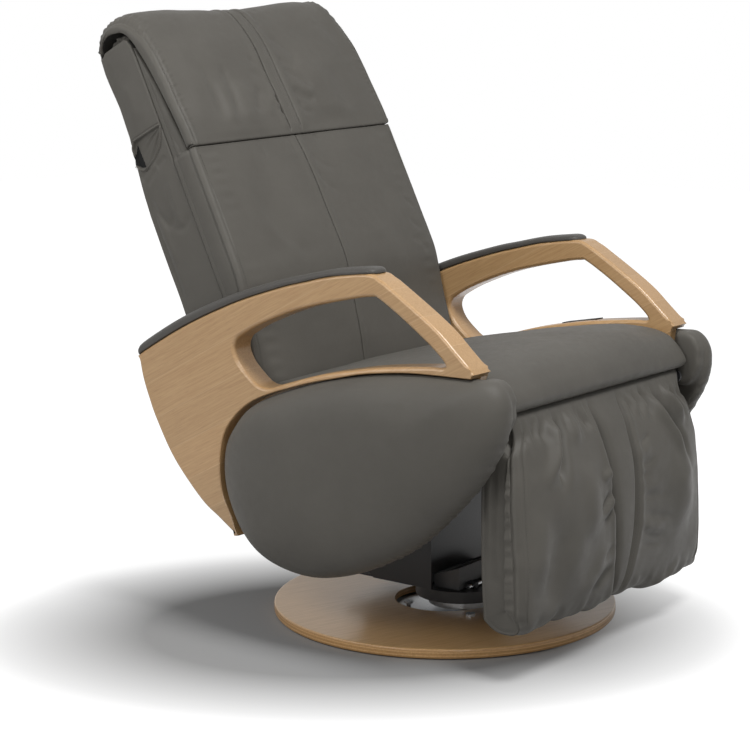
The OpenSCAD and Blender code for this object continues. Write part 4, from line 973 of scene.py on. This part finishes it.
def strip_half(z):
    return interp(z, [0.075, 0.084, 0.2, 0.29, 0.36, 0.435], [0.0135, 0.014, 0.031, 0.04, 0.042, 0.046])


def leg_cover():
    """Gathered cover: a front of two puffed halves beside a sewn strip, closed at both sides."""
    line = curve(LEG, 9, True, corners=(0, 3, 4))
    d = outward(line)
    y, z, hw = line.T
    n = len(line)
    # stations: first the middle strip, then each half, then the turned-in ends
    half_t = linspace(0, 1, 74)[1:]
    shares = np.r_[-half_t[::-1] - 1, linspace(-1, 1, 27), half_t + 1]
    front = ease(-y, 0.318, 0.345) * ease(z, 0.074, 0.1)
    sh = strip_half(z)
    a = abs(shares)[:, None]
    X = np.sign(shares)[:, None] * where(a <= 1, a * sh, sh + (a - 1) * (hw - sh))
    face = np.sin(clip((z - 0.075) / 0.36, 0, 1) * pi)
    off = abs(X) - sh
    edge = hw - abs(X)
    # puffed halves, sunk seams beside the strip
    push = face * 0.009 * np.sin(clip(off / (hw - sh), 0, 1) * pi) ** 0.6 * (off > 0)
    push -= (0.006 + 0.0085 * face) * bell(off, 0.005) * ease(z, 0.07, 0.1)
    push += 0.0036 * face * bell(off - 0.012, 0.008)
    push -= where(X < 0, 0.009 * bell(off + 0.003, 0.008) * ease(z, 0.12, 0.2) * (1 - ease(z, 0.37, 0.41)), 0)
    push += where(off < 0, 0.0035 * face * (1 - (X / sh) ** 2), 0)
    push -= ridges(off, (0.9, 4.5, 1.1), (0.9, 8, 1.1))
    for points, width, height, tilt in LEG_FOLDS:
        push += fold(X, z, points, width * 0.9, height * (1.2 if width < 0.0085 else 2.3), tilt, fade=0.4)
    # little gathers under the top seam
    gather = wave(X + 0.006 * drift(X, z, 0.03, 51), [(0.0135, 0.55, 0.4), (0.0215, 0.6, 1.9), (0.034, 0.4, 3.1)])
    push += 0.0023 * gather * ease(off, 0.002, 0.01) * ease(z, 0.365, 0.42) * ease(-z, -0.432, -0.424)
    puffed = face * (off > 0.004)
    push += 0.002 * drift(X, z * 0.6, 0.055, 52) * puffed + 0.0009 * drift(X, z, 0.025, 53) * puffed
    # hem
    hem = wave(X + 0.004 * drift(X, z, 0.03, 54), [(0.046, 0.5, 0.2), (0.029, 0.35, 2.2), (0.083, 0.4, 4.0)])
    push += ease(-z, -0.125, -0.08) * 0.0028 * hem
    # twin piping at both sides
    push += ease(z, 0.085, 0.1) * front * ridges(edge, (3, 4, 3), (2.4, 11.5, 2.8), (-2.2, 7.8, 1.2), (-2.6, 16, 1.4))
    share = clip(off / (hw - sh), 0, 1)
    push -= face * 0.019 * ease(share, 0.45, 1.0)
    push -= 0.014 * clip(1 - edge / 0.03, 0, 1) ** 2
    push *= where(front > 0, front, 0.0)
    tail = 0.006 * wave(X, [(0.21, 0.5, 0.6), (0.092, 0.4, 2.0), (0.048, 0.25, 1.0)])
    tail = ease(-z, -0.14, -0.085) * (tail - 0.009 * ease(X, 0.05, 0.2) + 0.006 * ease(-X, 0.12, 0.3))
    g = stack([X, y + d[:, 0] * push, z + d[:, 1] * push + tail], -1)
    # side faces: rings that close in towards the middle line of the section
    closing = [0.996, 0.985, 0.968, 0.95, 0.92, 0.88, 0.82, 0.75, 0.66, 0.56, 0.44, 0.32, 0.2, 0.1, 0.03]
    out = mm(15, 4.8, 5.8, 6.2, 6, 5.2, 5.4, 6.4, *[6.6] * 8)[0]
    spine = stack([full(n, -0.33), clip(z, 0.125, 0.37)], 1)
    ends = {-1: [], 1: []}
    for sx, base in ((-1, g[0, :, 1:]), (1, g[-1, :, 1:])):
        for c, o in zip(closing, out):
            v, h = (spine + (base - spine) * c).T
            creases = wave(h + (v + 0.33) * 0.25 + 0.004 * drift(v, h, 0.03, 60 + sx),
                           [(0.0155, 0.45, 0.3), (0.024, 0.5, 1.2), (0.041, 0.4, 2.6)])
            amount = 0.0022 * ease(1 - c, 0.1, 0.22) * ease(h, 0.11, 0.16) * (1 - ease(h, 0.33, 0.36))
            seam = -0.0028 * bell(v + 0.3015, 0.0016) * ease(h, 0.13, 0.16) * (1 - ease(h, 0.33, 0.37))
            across = sx * (hw + (o - 0.0066) + amount * creases + seam - 0.004 * ease(h, 0.37, 0.4))
            ends[sx].append(stack([across, v, h], 1))
    g = np.concatenate([ends[-1][::-1], g, ends[1]], 0)
    g[..., 0] = clip(g[..., 0], -LEG_HALF, LEG_HALF)
    obj = shell("leg_cover", g, LEATHER, "leg_rest", caps="none")
    # close the two middle lines
    edit(obj.data, lambda bm: bmesh.ops.holes_fill(bm, edges=[e for e in bm.edges if e.is_boundary]), face_out)
    shade_smooth(obj.data)
    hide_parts("leg_rest_cover")
    # stitches along the piping and the strip
    k0 = len(closing)
    front_j = [j for j in range(n) if y[j] < -0.335 and 0.09 < z[j] < 0.42]
    normal = stack([zeros(len(front_j)), d[front_j, 0], d[front_j, 1]], 1)

    def row(name, wanted):
        pts = []
        for j in front_j:
            points = g[k0:-k0, j]
            xs = points[:, 0]
            i = int(clip(np.searchsorted(xs, wanted(j)), 1, len(xs) - 1))
            t = (wanted(j) - xs[i - 1]) / (xs[i] - xs[i - 1] + 1e-12)
            pts.append(points[i - 1] * (1 - t) + points[i] * t)
        stitches(name, array(pts) + normal * 0.0002, normal, "leg_rest")

    for sx in (-1, 1):
        row("leg_edge_stitches_" + hand(sx), lambda j: sx * (hw[j] - 0.0185))
        row("leg_strip_stitches_" + hand(sx), lambda j: sx * (strip_half(z[j]) + 0.0062))


leg_cover()


# ---- round base
def base_board():
    """Turned board with a bore, from a closed profile of radius and height."""
    profile = mm(2, 116, 2.1, 298, 2.1, 308.5, 2.6, 309.6, 4, 310, 6, 310, 15, 309.6, 17.2, 308.4, 18.6, 306.6, 19,
                 298, 19.05, 95, 19.05, 91, 19.05, 90.5, 18.5, 90.5, 7, 115, 6.8)
    turn = linspace(0, 2 * pi, 256, endpoint=False)
    g = stack([stack([r * np.cos(turn), r * np.sin(turn), full(256, z)], 1) for r, z in profile])
    base = make("base_board", g.reshape(-1, 3), grid_faces(len(g), 256, True, True), LIGHTENED_BASE_WOOD, "base")
    sharp(base, 40)
    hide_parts("base_disc")


base_board()

# ---- CAD nodes that stay
slot_of = {p["node"]: p.get("material_slot") for p in frame["record"]["subparts"]}
for name, obj in nodes.items():
    finish = SLOTS[slot_of[name]]
    if not obj.material_slots:
        obj.data.materials.append(finish)
    for place in obj.material_slots:
        place.material = finish


# ---- floor, background, light, camera
def floor_with_painted_shadow(grey):
    """Matt floor that camera and mirror rays see fade to white away from the chair; the oval round the base gets no
    lift and stays grey, a painted shadow.
    """
    m, t, bsdf = material("floor")
    put(t, bsdf, Base_Color=(grey, grey, grey, 1), Roughness=0.9, Specular_IOR_Level=0.0, Emission_Color=(1, 1, 1, 1))
    path = node(t, "LightPath").outputs
    seen = maths(t, "MAXIMUM", path["Is Camera Ray"], path["Is Glossy Ray"])
    # painted shadow: no lift inside this oval round the base, a lift up to white outside it
    painted_shadow_oval = mapped(t, (1.613, 2.222, 1), (0, 0, radians(52.2)), (0.258, 0.267, 0))
    far = node(t, "VectorMath", operation="LENGTH")
    t.links.new(painted_shadow_oval, far.inputs[0])
    lift = ramp(t, maths(t, "MULTIPLY", far.outputs["Value"], 0.4),
                (0.24, 0), (0.3, 0.2), (0.36, 0.4), (0.4, 0.55), (0.46, 0.85), (0.52, 1))
    put(t, bsdf, Emission_Strength=maths(t, "MULTIPLY", seen, lift))
    return m


floor_mesh = bpy.data.meshes.new("floor")
floor_mesh.from_pydata([(-9, -9, 0), (9, -9, 0), (9, 9, 0), (-9, 9, 0)], [], [(0, 1, 2, 3)])
floor = add_object("floor", floor_mesh)
floor_mesh.materials.append(floor_with_painted_shadow(0.36))

world = scene.world = bpy.data.worlds.new("world")
world.use_nodes = True
wt = world.node_tree
wt.nodes.clear()
w_out, w_back = node(wt, "OutputWorld"), node(wt, "Background", dict(Color=(1, 1, 1, 1)))
w_path = node(wt, "LightPath").outputs
w_seen = maths(wt, "MAXIMUM", w_path["Is Camera Ray"], w_path["Is Transmission Ray"])
w_seen = maths(wt, "MAXIMUM", w_seen, maths(wt, "MULTIPLY", w_path["Is Glossy Ray"], 0.65))
put(wt, w_back, Strength=maths(wt, "ADD", maths(wt, "MULTIPLY", w_seen, 0.85), 0.15))
wt.links.new(w_back.outputs[0], w_out.inputs[0])

for name, place, target, size, power in (("key", (-0.5, -1.4, 3.0), (0, 0, 0.4), 1.0, 62),
                                         ("upper_left", (-3.0, 0.0, 2.1), (-0.2, 0, 0.4), 1.2, 24),
                                         ("front", (-2.6, -2.6, 1.6), (0, 0, 0.5), 1.2, 12),
                                         ("rear_left", (-1.7, 1.2, 1.5), (-0.29, 0.45, 0.85), 1.0, 8)):
    data = bpy.data.lights.new(name, "AREA")
    data.shape, data.size, data.energy = "DISK", size, power
    lamp = add_object(name, data)
    lamp.location = place
    lamp.rotation_euler = (Vector(target) - Vector(place)).to_track_quat("-Z", "Y").to_euler()

AZ, EL, ROLL, PLACE = radians(52.2311), radians(9.8746), radians(-0.4168), (-2.7523, -1.976, 1.0196)
back_to_front = Vector((-sin(AZ) * cos(EL), -cos(AZ) * cos(EL), sin(EL)))
level = Vector((cos(AZ), -sin(AZ), 0))
upright_line = back_to_front.cross(level)
right, up = cos(ROLL) * level + sin(ROLL) * upright_line, cos(ROLL) * upright_line - sin(ROLL) * level
lens = bpy.data.cameras.new("camera")
lens.sensor_width = 36
lens.lens = 1923.18 / 750 * lens.sensor_width  # focal length in pixels over the photo's width
scene.camera = add_object("camera", lens)
scene.camera.matrix_world = Matrix((*zip(right, up, back_to_front, PLACE), (0, 0, 0, 1)))

scene.view_settings.view_transform = "Standard"
